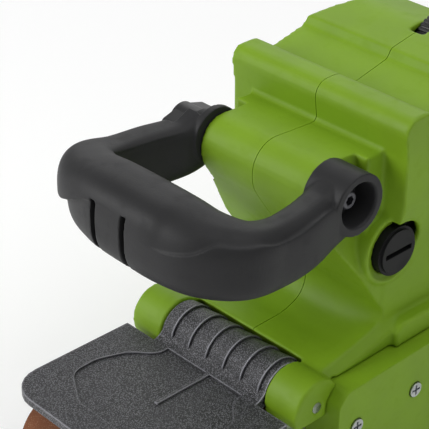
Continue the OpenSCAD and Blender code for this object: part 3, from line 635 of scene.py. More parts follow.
@dataclass(frozen=True)
class StackedSheet(Finish):
    """Iron core of thin sheets stacked along X, with varnish in the joints.

    Attributes:
        sheet: thickness of a sheet in metres.
    """

    sheet: float = 0.9 * MM
    relief: float = 0.06 * MM

    def sockets(self, graph: Graph) -> Inputs:
        """Values and links of the surface shader's sockets.

        Args:
            graph: the material's graph.

        Returns:
            The sockets by name.
        """
        along = graph.node("ShaderNodeSeparateXYZ", {}, {0: graph.place()}, out="X")
        wave = graph.math("FRACT", along / self.sheet, 0.0)
        joint = (wave - 0.5) * (wave - 0.5) * 4.0
        tone = graph.mix(joint.between(0.5, 0.9), self.colour, self.shade(0.35))
        rough = self.rough + joint * 0.15
        return self.surface(graph, tone, rough, 1.0 - joint, Metallic=0.9)


@dataclass(frozen=True)
class EnamelledWire(Finish):
    """Copper winding: parallel strands under clear varnish, with painted shade between the strands.

    Attributes:
        strand: thickness of a strand in metres.
        wave_scale: scale of the wave pattern, times a strand's thickness.
        waver: how far the strands waver.
    """

    strand: float = 0.8 * MM
    relief: float = 0.1 * MM
    wave_scale: float = 0.35
    waver: float = 1.2

    def sockets(self, graph: Graph) -> Inputs:
        """Values and links of the surface shader's sockets.

        Args:
            graph: the material's graph.

        Returns:
            The sockets by name.
        """
        strands = graph.node(
            "ShaderNodeTexWave",
            {"wave_type": "BANDS", "bands_direction": "DIAGONAL"},
            {
                "Vector": graph.place(),
                "Scale": self.wave_scale / self.strand,
                "Distortion": self.waver,
                "Detail": 1.0,
            },
        )
        height = graph.node("ShaderNodeRGBToBW", {}, {0: strands})
        # The valleys between strands are darkened: painted shade.
        tone = graph.mix(height, self.shade(0.45), self.shade(1.1))
        rough = self.rough + height * 0.1
        return self.surface(graph, tone, rough, height, Metallic=0.85, Coat_Weight=0.5)


@dataclass(frozen=True)
class AbrasiveCloth(Finish):
    """Sanding belt: sharp grains in resin on cloth, with bright grain tips.

    Attributes:
        grit: size of a grain in metres.
        fine: size of the fine grit between them in metres.
        band: width of the belt's paler and darker bands in metres.
        tip: colour of the grain tips, linear.
    """

    grit: float = 0.55 * MM
    fine: float = 0.25 * MM
    relief: float = 0.18 * MM
    band: float = 20 * MM
    tip: Colour = (0.55, 0.36, 0.22)

    def sockets(self, graph: Graph) -> Inputs:
        """Values and links of the surface shader's sockets.

        Args:
            graph: the material's graph.

        Returns:
            The sockets by name.
        """
        grains = graph.cells(self.grit)
        height = (1.0 - grains) * 0.8 + graph.noise(self.fine, 2.0) * 0.4
        tips = height.between(0.75, 1.0)
        bands = graph.noise(self.band, 3.0).between(0.3, 0.75)
        tone = graph.mix(bands, self.shade(0.8), self.shade(1.12))
        tone = graph.mix(tips * 0.7, tone, self.tip)
        rough = self.rough - tips * 0.2
        return self.surface(graph, tone, rough, height, Specular_IOR_Level=0.35)


def srgb(red: int, green: int, blue: int) -> Colour:
    """Linear colour of a screen colour.

    Args:
        red: red from 0 to 255.
        green: green from 0 to 255.
        blue: blue from 0 to 255.

    Returns:
        The colour in linear light.
    """
    parts = (c / 255.0 for c in (red, green, blue))
    return tuple(c / 12.92 if c <= 0.04045 else ((c + 0.055) / 1.055) ** 2.4 for c in parts)


GREEN_SHELL = MouldedPlastic(
    "green_shell_satin",
    "green_shell",
    srgb(119, 155, 22),
    0.55,
    edge=0.0,
    gloss=0.34,
    corners=4 * MM,
)
GREEN_PANEL = MouldedPlastic(
    "green_panel_satin", "green_shell", srgb(120, 156, 23), 0.55, edge=0.9 * MM, gloss=0.34
)
BLACK_GRIP = MouldedPlastic(
    "black_handle_satin",
    "black_plastic",
    srgb(43, 43, 44),
    0.5,
    edge=0.0,
    texture=0.7 * MM,
    relief=0.05 * MM,
    gloss=0.2,
    corners=3 * MM,
)
BLACK_PLASTIC = MouldedPlastic("black_plastic_satin", "black_plastic", srgb(28, 28, 29), 0.42)
BLACK_CAP = MouldedPlastic("black_cap_matt", "black_plastic", srgb(20, 20, 21), 0.5, gloss=0.2)
COVER_GRAIN = GrainedPlastic(
    "cover_pebble_grain", "grained_plastic", srgb(80, 80, 84), 0.44, edge=0.35 * MM
)
RED_BUTTON = MouldedPlastic("red_button_gloss", "red_plastic", srgb(190, 40, 25), 0.22)
SOFT_GRIP = Rubber("soft_grip_rubber", "soft_rubber", srgb(38, 38, 40), 0.68, edge=0.0)
DRIVE_RUBBER = Rubber("drive_rubber", "soft_rubber", srgb(30, 30, 31), 0.75, edge=0.3 * MM)
CAST_FRAME = CastMetal("cast_frame", "cast_frame", srgb(186, 188, 192), 0.42, edge=0.8 * MM)
ROLLER_METAL = TurnedMetal(
    "turned_roller", "turned_aluminium", srgb(214, 216, 220), 0.28, edge=0.4 * MM
)
STEEL = TurnedMetal("machined_steel", "steel", srgb(188, 190, 194), 0.27, edge=0.25 * MM)
SHAFT_STEEL = TurnedMetal(
    "ground_shaft_steel", "steel", srgb(196, 198, 202), 0.2, edge=0.25 * MM, lay=(1.0, 0.04, 0.04)
)
BLACKED_STEEL = TurnedMetal("blacked_steel", "steel", srgb(104, 104, 108), 0.5, edge=0.25 * MM)
BRASS = TurnedMetal("drawn_brass", "brass", srgb(200, 160, 90), 0.3, edge=0.25 * MM)
COPPER_BARS = TurnedMetal(
    "commutator_copper", "copper", srgb(204, 130, 88), 0.26, edge=0.15 * MM, lay=(1.0, 0.2, 0.2)
)
CORE_SHEET = StackedSheet(
    "core_laminations", "laminations", srgb(120, 121, 126), 0.45, edge=0.2 * MM
)
COPPER_WIRE = EnamelledWire("copper_winding", "copper", srgb(196, 112, 62), 0.35, edge=0.4 * MM)
CARBON = MouldedPlastic("pressed_carbon", "carbon", srgb(36, 36, 37), 0.6, edge=0.2 * MM)
BELT_GRIT = AbrasiveCloth("belt_grit", "abrasive", srgb(122, 74, 46), 0.85, edge=0.0)
GRAPHITE_PAD = Rubber(
    "graphite_pad", "pad", srgb(58, 58, 60), 0.6, edge=0.2 * MM, pimple=0.8 * MM
)


# Meshes


def smoothstep(low: float, high: float, value: float) -> float:
    """Smooth rise from 0 at one value to 1 at another."""
    t = min(max((value - low) / (high - low), 0.0), 1.0)
    return t * t * (3.0 - 2.0 * t)


def signed_power(value: float, power: float) -> float:
    """Power of a value's size, with the value's own sign."""
    return math.copysign(abs(value) ** power, value)


def blend_rows(rows: Sequence[Sequence[float]], t: float) -> list[float]:
    """Row of numbers on a smooth curve through rows of numbers.

    Args:
        rows: the rows that the curve passes through.
        t: place on the curve, with row i at i.

    Returns:
        The row at that place.
    """
    last = len(rows) - 1
    i = min(int(t), last - 1)
    f = t - i
    a, b, c, d = (rows[min(max(i + k, 0), last)] for k in (-1, 0, 1, 2))
    row = []
    for p, q, r, s in zip(a, b, c, d):
        bend = (2 * p - 5 * q + 4 * r - s) * f * f
        twist = (3 * q - p - 3 * r + s) * f**3
        row.append(0.5 * (2 * q + (r - p) * f + bend + twist))
    return row


def new_object(
    name: str, verts: Iterable[Vector], faces: Iterable[Sequence[int]]
) -> bpy.types.Object:
    """Adds a mesh object to the scene.

    Args:
        name: name of the piece.
        verts: corners in metres.
        faces: corner numbers of each face.

    Returns:
        The object.
    """
    mesh = bpy.data.meshes.new(name)
    mesh.from_pydata([tuple(v) for v in verts], [], [tuple(f) for f in faces])
    mesh.validate()
    return placed(name, mesh)


def placed(name: str, data: bpy.types.ID) -> bpy.types.Object:
    """Puts a new object into the scene.

    Args:
        name: name of the object.
        data: its mesh, lamp or camera.

    Returns:
        The object.
    """
    made = bpy.data.objects.new(name, data)
    bpy.context.scene.collection.objects.link(made)
    return made


@contextmanager
def editing(piece: bpy.types.Object) -> Iterator[bmesh.types.BMesh]:
    """Opens a piece's mesh for changes and writes them back at the end.

    Args:
        piece: the piece to change.

    Yields:
        The open mesh.
    """
    work = bmesh.new()
    work.from_mesh(piece.data)
    yield work
    work.to_mesh(piece.data)
    work.free()


def loft(rings: Sequence[Ring]) -> Skin:
    """Closed skin over a row of rings.

    Args:
        rings: rings of the same number of points.

    Returns:
        Corners and faces.
    """
    n, m = len(rings[0]), len(rings)
    verts = [p for ring in rings for p in ring]
    faces = [
        [j * n + i, j * n + (i + 1) % n, (j + 1) * n + (i + 1) % n, (j + 1) * n + i]
        for j in range(m - 1)
        for i in range(n)
    ]
    faces.append(list(range(n - 1, -1, -1)))
    faces.append([(m - 1) * n + i for i in range(n)])
    return verts, faces


def lathe_y(centre: Point, profile: Sequence[Pair], count: int = 72) -> Skin:
    """Solid of a profile turned about an axis along Y.

    Args:
        centre: a point on the axis, in millimetres.
        profile: Y and radius of each corner, in millimetres, from end to end.
        count: number of corners round the axis.

    Returns:
        Corners and faces.
    """
    rings = [
        [
            Vector((centre[0] + r * math.cos(a), y, centre[2] + r * math.sin(a))) * MM
            for a in (2 * math.pi * k / count for k in range(count))
        ]
        for y, r in profile
    ]
    return loft(rings)


def joined(name: str, parts: Sequence[Skin]) -> bpy.types.Object:
    """One object of several closed skins.

    Args:
        name: name of the piece.
        parts: corners and faces of each skin.

    Returns:
        The object, with every skin facing outwards.
    """
    verts: list[Vector] = []
    faces: list[list[int]] = []
    for more, sides in parts:
        start = len(verts)
        verts += more
        faces += [[start + k for k in side] for side in sides]
    piece = new_object(name, verts, faces)
    with editing(piece) as work:
        bmesh.ops.recalc_face_normals(work, faces=work.faces)
    return piece


def settle(piece: bpy.types.Object) -> None:
    """Applies a piece's modifiers to its mesh."""
    graph = bpy.context.evaluated_depsgraph_get()
    mesh = bpy.data.meshes.new_from_object(piece.evaluated_get(graph))
    piece.modifiers.clear()
    piece.data = mesh


@dataclass(frozen=True)
class SoftZone:
    """Box in which a mesh is smoothed further, fading out at its sides.

    Attributes:
        low: lower corner in millimetres.
        high: upper corner in millimetres.
        fade: width of the fading margin along each axis, in millimetres.
        passes: number of smoothing passes.
    """

    low: Point
    high: Point
    fade: Point
    passes: int

    def group(self, piece: bpy.types.Object) -> str:
        """Marks the corners of a mesh by how far they lie inside the box.

        Args:
            piece: the piece.

        Returns:
            Name of the vertex group.
        """
        spots = np.empty(3 * len(piece.data.vertices))
        piece.data.vertices.foreach_get("co", spots)
        spots = spots.reshape(-1, 3) / MM
        low, high, fade = np.array(self.low), np.array(self.high), np.array(self.fade)
        inside = np.minimum(spots - low, high - spots) / fade
        levels = np.rint(np.clip(inside.min(axis=1), 0.0, 1.0) * ZONE_LEVELS)
        group = piece.vertex_groups.new(name="soft_zone")
        for level in range(1, ZONE_LEVELS + 1):
            marked = np.flatnonzero(levels == level).tolist()
            group.add(marked, level / ZONE_LEVELS, "REPLACE")
        return group.name


def soften(piece: bpy.types.Object, passes: int, group: str = "") -> None:
    """Smooths a mesh.

    Args:
        piece: the piece to change.
        passes: number of smoothing passes.
        group: vertex group that says where, or nothing for all of it.
    """
    smooth = piece.modifiers.new("soften", "SMOOTH")
    smooth.factor = SMOOTH_FACTOR
    smooth.iterations = passes
    smooth.vertex_group = group
    settle(piece)


def moulded(
    piece: bpy.types.Object,
    voxel: float,
    passes: int,
    keep: float,
    zones: Sequence[SoftZone] = (),
) -> None:
    """Melts a piece into one skin with rounded edges and fillets, as a mould gives it.

    Args:
        piece: the piece to change.
        voxel: fineness of the skin in metres.
        passes: number of smoothing passes.
        keep: share of the faces that are kept.
        zones: boxes that are smoothed further.
    """
    skin = piece.modifiers.new("skin", "REMESH")
    skin.mode = "VOXEL"
    skin.voxel_size = voxel
    settle(piece)
    if passes > 0:
        soften(piece, passes)
    for zone in zones:
        soften(piece, zone.passes, zone.group(piece))
        piece.vertex_groups.clear()
    if keep < 1.0:
        lean = piece.modifiers.new("lean", "DECIMATE")
        lean.ratio = keep
        settle(piece)


def fit_width(piece: bpy.types.Object, node: str) -> None:
    """Draws a piece in sideways to the width of the solid that it stands for.

    Args:
        piece: the piece to change.
        node: name of the solid.
    """
    low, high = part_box(node)
    widest = max(abs(v.co.y) for v in piece.data.vertices)
    share = min(1.0, min(-low.y, high.y) / widest)
    piece.data.transform(Matrix.Diagonal((1.0, share, 1.0, 1.0)))


def even_out(piece: bpy.types.Object, sharp: float = 60.0) -> None:
    """Shades a mesh so that its large faces look flat and its small ones round the edges.

    Args:
        piece: the piece to change.
        sharp: angle in degrees from which an edge stays sharp.
    """
    piece.data.set_sharp_from_angle(angle=math.radians(sharp))
    even = piece.modifiers.new("even", "WEIGHTED_NORMAL")
    even.mode = "FACE_AREA_WITH_ANGLE"
    even.keep_sharp = True
    settle(piece)


def cut(piece: bpy.types.Object, cutter: bpy.types.Object) -> None:
    """Cuts one piece out of another and drops the cutter.

    Args:
        piece: the piece to change.
        cutter: the shape that is taken away.
    """
    hole = piece.modifiers.new("cut", "BOOLEAN")
    hole.operation = "DIFFERENCE"
    hole.solver = "MANIFOLD"
    hole.object = cutter
    settle(piece)
    bpy.data.objects.remove(cutter, do_unlink=True)


def cad_copy(node: str, name: str) -> bpy.types.Object:
    """Copy of a solid of the part, welded into one skin.

    Args:
        node: name of the solid.
        name: name of the copy.

    Returns:
        The copy.
    """
    piece = placed(name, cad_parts[node].data.copy())
    with editing(piece) as work:
        bmesh.ops.remove_doubles(work, verts=work.verts, dist=WELD)
    return piece


def block(name: str, low: Point, high: Point) -> bpy.types.Object:
    """Box that cuts other pieces.

    Args:
        name: name of the box.
        low: lower corner in millimetres.
        high: upper corner in millimetres.

    Returns:
        The box.
    """
    (a, b, _), (d, e, _) = low, high
    plan = ((a, b), (d, b), (d, e), (a, e))
    verts = [Vector((x, y, z)) * MM for z in (low[2], high[2]) for x, y in plan]
    faces = [(3, 2, 1, 0), (4, 5, 6, 7), (0, 1, 5, 4), (1, 2, 6, 5), (2, 3, 7, 6), (3, 0, 4, 7)]
    return new_object(name, verts, faces)


def paint(piece: bpy.types.Object, finish: Finish) -> None:
    """Gives a new piece one finish and smooth shading.

    Args:
        piece: the piece.
        finish: its finish.
    """
    piece.data.materials.clear()
    piece.data.materials.append(finish.material())
    piece.data.polygons.foreach_set("use_smooth", [True] * len(piece.data.polygons))


def dress_node(node: str, finish: Finish) -> None:
    """Gives a solid of the part a finish and leaves its mesh as it is.

    Args:
        node: name of the solid.
        finish: its finish.
    """
    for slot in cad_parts[node].material_slots:
        slot.link = "OBJECT"
        slot.material = finish.material()
    log.info("dressed %s with %s", node, finish.name)


# Sub-assemblies


@dataclass
class SubAssembly:
    """A group of pieces that are built and then dressed."""

    def build(self) -> None:
        """Makes the pieces that replace solids; a group has none unless it says so."""

    def solids(self) -> dict[Finish, Sequence[str]]:
        """Solids of the part that keep their mesh, by their finish."""
        return {}

    def dress(self) -> None:
        """Gives every solid that keeps its mesh its finish."""
        for finish, nodes in self.solids().items():
            for node in nodes:
                dress_node(node, finish)

    @staticmethod
    def take_over(piece: bpy.types.Object, node: str, body: Body, finish: Finish) -> None:
        """Puts a new piece in the place of a solid.

        Args:
            piece: the new piece.
            node: the solid that it stands for.
            body: the body that it rides on.
            finish: its finish.
        """
        paint(piece, finish)
        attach(piece, body.value)
        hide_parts(node)
        log.info("built %s with %d faces", piece.name, len(piece.data.polygons))


@dataclass
class Housing(SubAssembly):
    """The two moulded shells, the side panel and what is fixed to them.

    Attributes:
        voxel: fineness of the shells' skin in metres; the other lengths are in millimetres.
        passes: smoothing passes over the whole skin.
        keep: share of the skin's faces that are kept.
        parting: distance of each shell from the parting plane.
        zones: boxes of the skin that are smoothed further.
        neck_foot: X and Z of the place where the front of the neck meets the foot.
        neck_way: direction in which the front of the neck rises, in X and Z.
        dish_x: X of the top of the foot close to the neck and further out.
        dish_middle: Z of the top of the foot at these places, on the parting plane.
        dish_rim: Z of the top of the foot at these places, at the sides.
        blend_radii: radius of the fillet between neck and foot, on the parting plane and at the sides.
        blend_half_w: half width of the fillet.
        blend_spare: width beyond it at which its radius would come down to that at the sides.
        blend_power: how late the radius comes down.
        blend_steps: sections of the fillet on each side of the parting plane.
        arc_steps: steps of the fillet's arc.
        sunk: distance of the fillet's rims from its axis, as a share of the radius.
        root: depth of the fillet's back behind the corner.
    """

    voxel: float = 0.85 * MM
    passes: int = 5
    keep: float = 0.16
    parting: float = 0.2
    zones: tuple[SoftZone, ...] = (
        SoftZone((-24.0, -40.5, 61.0), (10.0, 40.5, 100.0), (6.0, 3.0, 7.0), 60),
    )
    neck_foot: Pair = (-11.2, 75.6)
    neck_way: Pair = (0.543, 0.84)
    dish_x: Pair = (-11.5, -2.4)
    dish_middle: Pair = (74.6, 68.9)
    dish_rim: Pair = (73.7, 71.0)
    blend_radii: Pair = (14.0, 3.0)
    blend_half_w: float = 42.0
    blend_spare: float = 1.0
    blend_power: int = 4
    blend_steps: int = 16
    arc_steps: int = 10
    sunk: float = 1.05
    root: float = 2.0

    def solids(self) -> dict[Finish, Sequence[str]]:
        """Pieces fixed to the shells, by their finish."""
        return {
            GREEN_PANEL: ("drive_cover",),
            STEEL: ("housing_screws", "drive_cover_screws"),
            BLACK_PLASTIC: ("dust_chute",),
            DRIVE_RUBBER: ("cord_bush",),
            BLACK_CAP: ("brush_caps",),
        }

    def blend_ring(self, y: float) -> Ring:
        """Outline of the fillet between the neck and the dished foot.

        Args:
            y: distance from the parting plane in millimetres.

        Returns:
            The outline's points in metres.
        """
        share = 1.0 - (abs(y) / (self.blend_half_w + self.blend_spare)) ** self.blend_power
        high, low = (r + (m - r) * share for m, r in zip(self.dish_middle, self.dish_rim))
        radius = self.blend_radii[1] + (self.blend_radii[0] - self.blend_radii[1]) * share
        up = Vector(self.neck_way).normalized()
        start = Vector((self.dish_x[0], high))
        out = (Vector((self.dish_x[1], low)) - start).normalized()
        lift = Vector(self.neck_foot) - start
        corner = start + out * ((lift.x * up.y - lift.y * up.x) / (out.x * up.y - out.y * up.x))
        half_turn = up.angle(out) / 2.0
        middle = (up + out).normalized()
        centre = corner + middle * (radius / math.sin(half_turn))
        reach = radius / math.tan(half_turn)
        first, last = (corner + way * reach - centre for way in (up, out))
        turns = [i / self.arc_steps for i in range(self.arc_steps + 1)]
        arc = [centre + first.normalized().slerp(last.normalized(), t) * radius for t in turns]
        rims = [centre + rim * self.sunk for rim in (first, last)]
        outline = [rims[0], *arc, rims[1], corner - middle * self.root]
        return [Vector((q.x, y, q.y)) * MM for q in outline]

    def half(self, whole: bpy.types.Object, side: Side) -> bpy.types.Object:
        """One half of the moulded housing.

        Args:
            whole: both halves in one skin.
            side: the half that is wanted.

        Returns:
            The half, cut off beside the parting plane.
        """
        shell = placed(f"shell_{side.value}", whole.data.copy())
        (back, near, bottom), (front, far, top) = CUT_LOW, CUT_HIGH
        if side is Side.LEFT:
            far = self.parting
        else:
            near = -self.parting
        cut(shell, block("half_cut", (back, near, bottom), (front, far, top)))
        return shell

    def build(self) -> None:
        """Makes both shells as one moulded skin and parts them by a fine gap."""
        whole = cad_copy("housing_left", "housing_skin")
        other = cad_copy("housing_right", "other_half")
        steps = range(-self.blend_steps, self.blend_steps + 1)
        rings = [self.blend_ring(self.blend_half_w * i / self.blend_steps) for i in steps]
        fillet = new_object("foot_fillet", *loft(rings))
        with editing(whole) as work:
            for more in (other, fillet):
                work.from_mesh(more.data)
                bpy.data.objects.remove(more, do_unlink=True)
        moulded(whole, self.voxel, self.passes, self.keep, self.zones)
        for side in Side:
            shell = self.half(whole, side)
            even_out(shell)
            self.take_over(shell, f"housing_{side.value}", Body.HOUSING, GREEN_SHELL)
        bpy.data.objects.remove(whole, do_unlink=True)


@dataclass
class FrontHandle(SubAssembly):
    """D-handle: a cap over a set-back core, two slots in the grip and a hub on each side.

    Attributes:
        pivot: place of the tilting axis; lengths are in millimetres, apart from voxel.
        rows: half of the path from the left hub to the middle of the grip; each row is x, y and z
            from the pivot, half width, half height and squareness.
        belt_line: height above the pivot of the line between cap and core, and how far the core is
            set back below it, or stands out where it is negative; two pairs for each row of the
            whole path.
        belt_range: lowest and highest place of that line, as shares of the half height.
        cap_square: squareness of the cap where the core stands out below it.
        cap_back: set-back of the cap there, as a share of how far the core stands out.
        lip: height of the cap's edge on the inner side, as a share of the half height.
        lip_back: set-back of the core on the inner side.
        lip_x: distances in front of the pivot where that set-back begins and is full.
        seam: angle between cap and core on the inner side, in radians.
        arc_points: points of a section on its cap, and as many on its core.
        stations: steps along the path from one section to the next.
        slots: places of the slots along Y.
        slot_half: half width of a slot.
        slot_in: distance of the slots' floor in front of the grip's middle line.
        slot_lean: lean of the slots' floor in degrees.
        slot_size: depth and height of the slab that cuts a slot.
        slot_drop: distance of the slab's foot below the pivot.
        grip_reach: distance of the grip's middle line in front of the pivot.
        hub_r: radius of the near hub.
        hub_in: distance of both hubs' inner faces from the parting plane.
        hub_out: distance of the near hub's outer face.
        far_out: distance of the far hub's outer face.
        far_slim: how much less the far hub's radius is.
        far_disc: thickness of the far hub's disc.
        far_edge: length along Y of the slope from the disc to the boss.
        boss_r: radius of the far hub's boss.
        recess_r: radius of the near hub's recess.
        recess_depth: depth of the recess.
        recess_rim: depth at which the recess begins to flare.
        flare: Y where the tool that cuts the recess ends, and how much wider it is there.
        knob_room: reach of the clear room round the clamp knob in front of the pivot.
        face_room: reach of the clear room beside the near hub.
        room_x: back of both rooms.
        room_z: bottom and top of both rooms.
        bolt_r: radius of the bolt's shank.
        bolt_deep: distance of the bolt's end from the near hub's outer face.
        bolt_past: length of the bolt beyond the far hub.
        flange: radius and thickness of the bolt's flange.
        flange_edge: chamfer of the flange.
        tip_r: radius of the bolt's end.
        tip_edge: chamfer of the bolt's end.
        socket_r: radius of the hexagon in the bolt's end.
        socket_depth: depth of the hexagon.
        bolt_sharp: angle in degrees from which the bolt's edges stay sharp.
        voxel: fineness of the handle's skin in metres.
        passes: smoothing passes over the handle.
        keep: share of the handle's faces that are kept.
    """

    pivot: Point = (18.0, 0.0, 145.0)
    rows: tuple[tuple[float, ...], ...] = (
        (2.0, 41.4, -0.9, 9.2, 13.1, 3.2),
        (13.0, 41.9, -4.5, 9.2, 12.5, 3.4),
        (29.0, 45.4, -5.6, 9.2, 13.2, 3.6),
        (45.0, 46.6, -5.3, 9.3, 13.5, 3.6),
        (59.0, 44.6, -3.0, 12.0, 14.3, 3.4),
        (67.0, 33.4, -1.8, 15.0, 15.8, 2.9),
        (69.0, 18.4, -1.2, 16.0, 17.3, 2.8),
        (69.0, 0.0, -1.2, 16.0, 17.5, 2.8),
    )
    belt_line: tuple[Pair, ...] = (
        (8.0, 0.0), (5.5, -0.6), (4.3, -1.0), (4.7, -1.1), (4.7, -1.1), (4.1, -1.1),
        (4.2, -1.1), (5.7, -1.1), (8.9, -1.2), (10.1, -1.3), (5.6, -1.6), (3.4, -1.3),
        (3.6, -0.3), (5.0, 0.0), (8.0, 0.0), (8.4, 0.5), (7.0, 1.3), (2.8, 2.5),
        (-1.6, 3.5), (-3.1, 3.7), (-3.5, 3.4), (-3.5, 2.8), (-3.2, 2.2), (-3.1, 1.9),
        (-3.0, 1.6), (-3.0, 1.2), (-3.0, 0.8), (-3.0, 0.4), (-3.0, 0.0),
    )
    belt_range: Pair = (-0.7, 0.8)
    cap_square: float = 2.4
    cap_back: float = 0.55
    lip: float = 0.84
    lip_back: float = 0.9
    lip_x: Pair = (8.0, 24.0)
    seam: float = 0.03
    arc_points: int = 40
    stations: int = 170
    slots: Pair = (-13.6, 4.8)
    slot_half: float = 1.5
    slot_in: float = 9.8
    slot_lean: float = -1.0
    slot_size: Pair = (20.0, 36.6)
    slot_drop: float = 28.0
    grip_reach: float = 69.0
    hub_r: float = 13.6
    hub_in: float = 31.9
    hub_out: float = 50.9
    far_out: float = 43.0
    far_slim: float = 0.6
    far_disc: float = 3.5
    far_edge: float = 0.5
    boss_r: float = 8.5
    recess_r: float = 9.8
    recess_depth: float = 12.0
    recess_rim: float = 1.0
    flare: Pair = (70.0, 12.0)
    knob_room: float = 15.5
    face_room: float = 12.0
    room_x: float = -20.0
    room_z: Pair = (100.0, 200.0)
    bolt_r: float = 4.0
    bolt_deep: float = 5.6
    bolt_past: float = 8.0
    flange: Pair = (5.2, 3.5)
    flange_edge: float = 0.4
    tip_r: float = 3.9
    tip_edge: float = 0.5
    socket_r: float = 2.2
    socket_depth: float = 3.0
    bolt_sharp: float = 30.0
    voxel: float = 0.42 * MM
    passes: int = 2
    keep: float = 0.35

    def solids(self) -> dict[Finish, Sequence[str]]:
        """The clamp knob with its finish."""
        return {BLACK_PLASTIC: ("handle_knob",)}

    def path(self) -> list[tuple[float, ...]]:
        """Whole path from the left hub round to the right one."""
        back = [(r[0], -r[1], *r[2:]) for r in reversed(self.rows[:-1])]
        return [*self.rows, *back]

    def ring(self, path: Sequence[Sequence[float]], t: float) -> Ring:
        """Section of the handle at one place.

        Args:
            path: rows of the path.
            t: place on the path.

        Returns:
            The section's points in metres.
        """
        last = len(path) - 1
        place = blend_rows(path, t)
        ahead = blend_rows(path, min(t + PATH_STEP, last))
        behind = blend_rows(path, max(t - PATH_STEP, 0.0))
        along = (Vector(ahead[:3]) - Vector(behind[:3])).normalized()
        out = Vector((0.0, 0.0, 1.0)).cross(along).normalized()
        over = along.cross(out)
        half_w, half_h, square = place[3], place[4], place[5]
        height, back = blend_rows(self.belt_line, 2.0 * t)
        share = min(max((height - place[2]) / half_h, self.belt_range[0]), self.belt_range[1])
        cap_square = square + (self.cap_square - square) * smoothstep(0.0, 1.0, -back)
        line = math.asin(signed_power(share, square / 2.0))
        edge = math.asin(signed_power(share, cap_square / 2.0))
        inner = math.asin(self.lip ** (square / 2.0))
        steps = self.arc_points - 1
        cap = [edge + (math.pi - edge - inner) * k / steps for k in range(steps + 1)]
        low = math.pi - inner + self.seam
        sweep = math.pi + line + inner - 2.0 * self.seam
        core = [low + sweep * k / steps for k in range(steps + 1)]
        points: Ring = []
        for k, angle in enumerate(cap + core):
            c, s = math.cos(angle), math.sin(angle)
            on_cap = k < self.arc_points
            if c > 0:
                inset = max(-self.cap_back * back if on_cap else back, 0.0)
            else:
                inset = 0.0 if on_cap else self.lip_back * smoothstep(*self.lip_x, place[0])
            power = 2.0 / (cap_square if on_cap and c > 0 else square)
            across = (half_w - inset) * signed_power(c, power)
            up = half_h * signed_power(s, power)
            spot = Vector(self.pivot) + Vector(place[:3]) + across * out + up * over
            points.append(spot * MM)
        return points

    def slot_cut(self, y: float) -> bpy.types.Object:
        """Leaning slab that cuts one slot.

        Args:
            y: place of the slot along Y in millimetres.

        Returns:
            The slab.
        """
        depth, height = self.slot_size
        low, high = (0.0, y - self.slot_half, 0.0), (depth, y + self.slot_half, height)
        slab = block("slot_cut", low, high)
        floor = self.pivot[0] + self.grip_reach + self.slot_in
        corner = Vector((floor, 0.0, self.pivot[2] - self.slot_drop)) * MM
        lean = Matrix.Rotation(math.radians(self.slot_lean), 4, "Y")
        slab.data.transform(Matrix.Translation(corner) @ lean)
        return slab

    def bolt(self) -> bpy.types.Object:
        """Makes the pivot bolt, with a flange at the bottom of the recess and a hexagon in its end.

        Returns:
            The bolt.
        """
        end = self.hub_out - self.bolt_deep
        seat = self.hub_out - self.recess_depth
        flange_r, thick = self.flange
        profile = (
            (-self.far_out - self.bolt_past, self.bolt_r),
            (seat, self.bolt_r),
            (seat, flange_r),
            (seat + thick - self.flange_edge, flange_r),
            (seat + thick, flange_r - self.flange_edge),
            (seat + thick, self.tip_r),
            (end - self.tip_edge, self.tip_r),
            (end, self.tip_r - self.tip_edge),
        )
        bolt = joined("pivot_bolt", [lathe_y(self.pivot, profile)])
        socket = tuple((end + way * self.socket_depth, self.socket_r) for way in (-1.0, 1.0))
        cut(bolt, joined("socket_cut", [lathe_y(self.pivot, socket, count=6)]))
        return bolt

    def hubs(self) -> list[Skin]:
        """Both hubs, the near one plain and the far one with a disc and a boss.

        Returns:
            The skin of each.
        """
        near = ((self.hub_in, self.hub_r), (self.hub_out, self.hub_r))
        step = -self.hub_in - self.far_disc
        disc_r = self.hub_r - self.far_slim
        far = (
            (-self.hub_in, disc_r),
            (step, disc_r),
            (step - self.far_edge, self.boss_r),
            (-self.far_out, self.boss_r),
        )
        return [lathe_y(self.pivot, profile) for profile in (near, far)]

    def clear(self, handle: bpy.types.Object) -> None:
        """Cuts the slots, the near hub's recess and the room beside both hubs.

        Args:
            handle: the handle's skin.
        """
        for y in self.slots:
            cut(handle, self.slot_cut(y))
        bell = (
            (self.hub_out - self.recess_depth, self.recess_r),
            (self.hub_out - self.recess_rim, self.recess_r),
            (self.flare[0], self.recess_r + self.flare[1]),
        )
        cut(handle, joined("recess_cut", [lathe_y(self.pivot, bell)]))
        (bottom, top), x = self.room_z, self.pivot[0]
        knob = (x + self.knob_room, -self.far_out, top)
        cut(handle, block("knob_room", (self.room_x, CUT_LOW[1], bottom), knob))
        face = (x + self.face_room, CUT_HIGH[1], top)
        cut(handle, block("hub_face", (self.room_x, self.hub_out, bottom), face))

    def build(self) -> None:
        """Makes the handle as one moulded skin, and the bolt."""
        path = self.path()
        last = len(path) - 1
        places = [last * k / self.stations for k in range(self.stations + 1)]
        grip = loft([self.ring(path, t) for t in places])
        handle = joined("front_handle_grip", [grip, *self.hubs()])
        moulded(handle, self.voxel, passes=0, keep=1.0)
        self.clear(handle)
        moulded(handle, self.voxel, self.passes, self.keep)
        fit_width(handle, "front_handle")
        even_out(handle)
        self.take_over(handle, "front_handle", Body.HANDLE, BLACK_GRIP)
        bolt = self.bolt()
        self.take_over(bolt, "handle_bolt", Body.HANDLE, BLACKED_STEEL)
        bolt.data.set_sharp_from_angle(angle=math.radians(self.bolt_sharp))


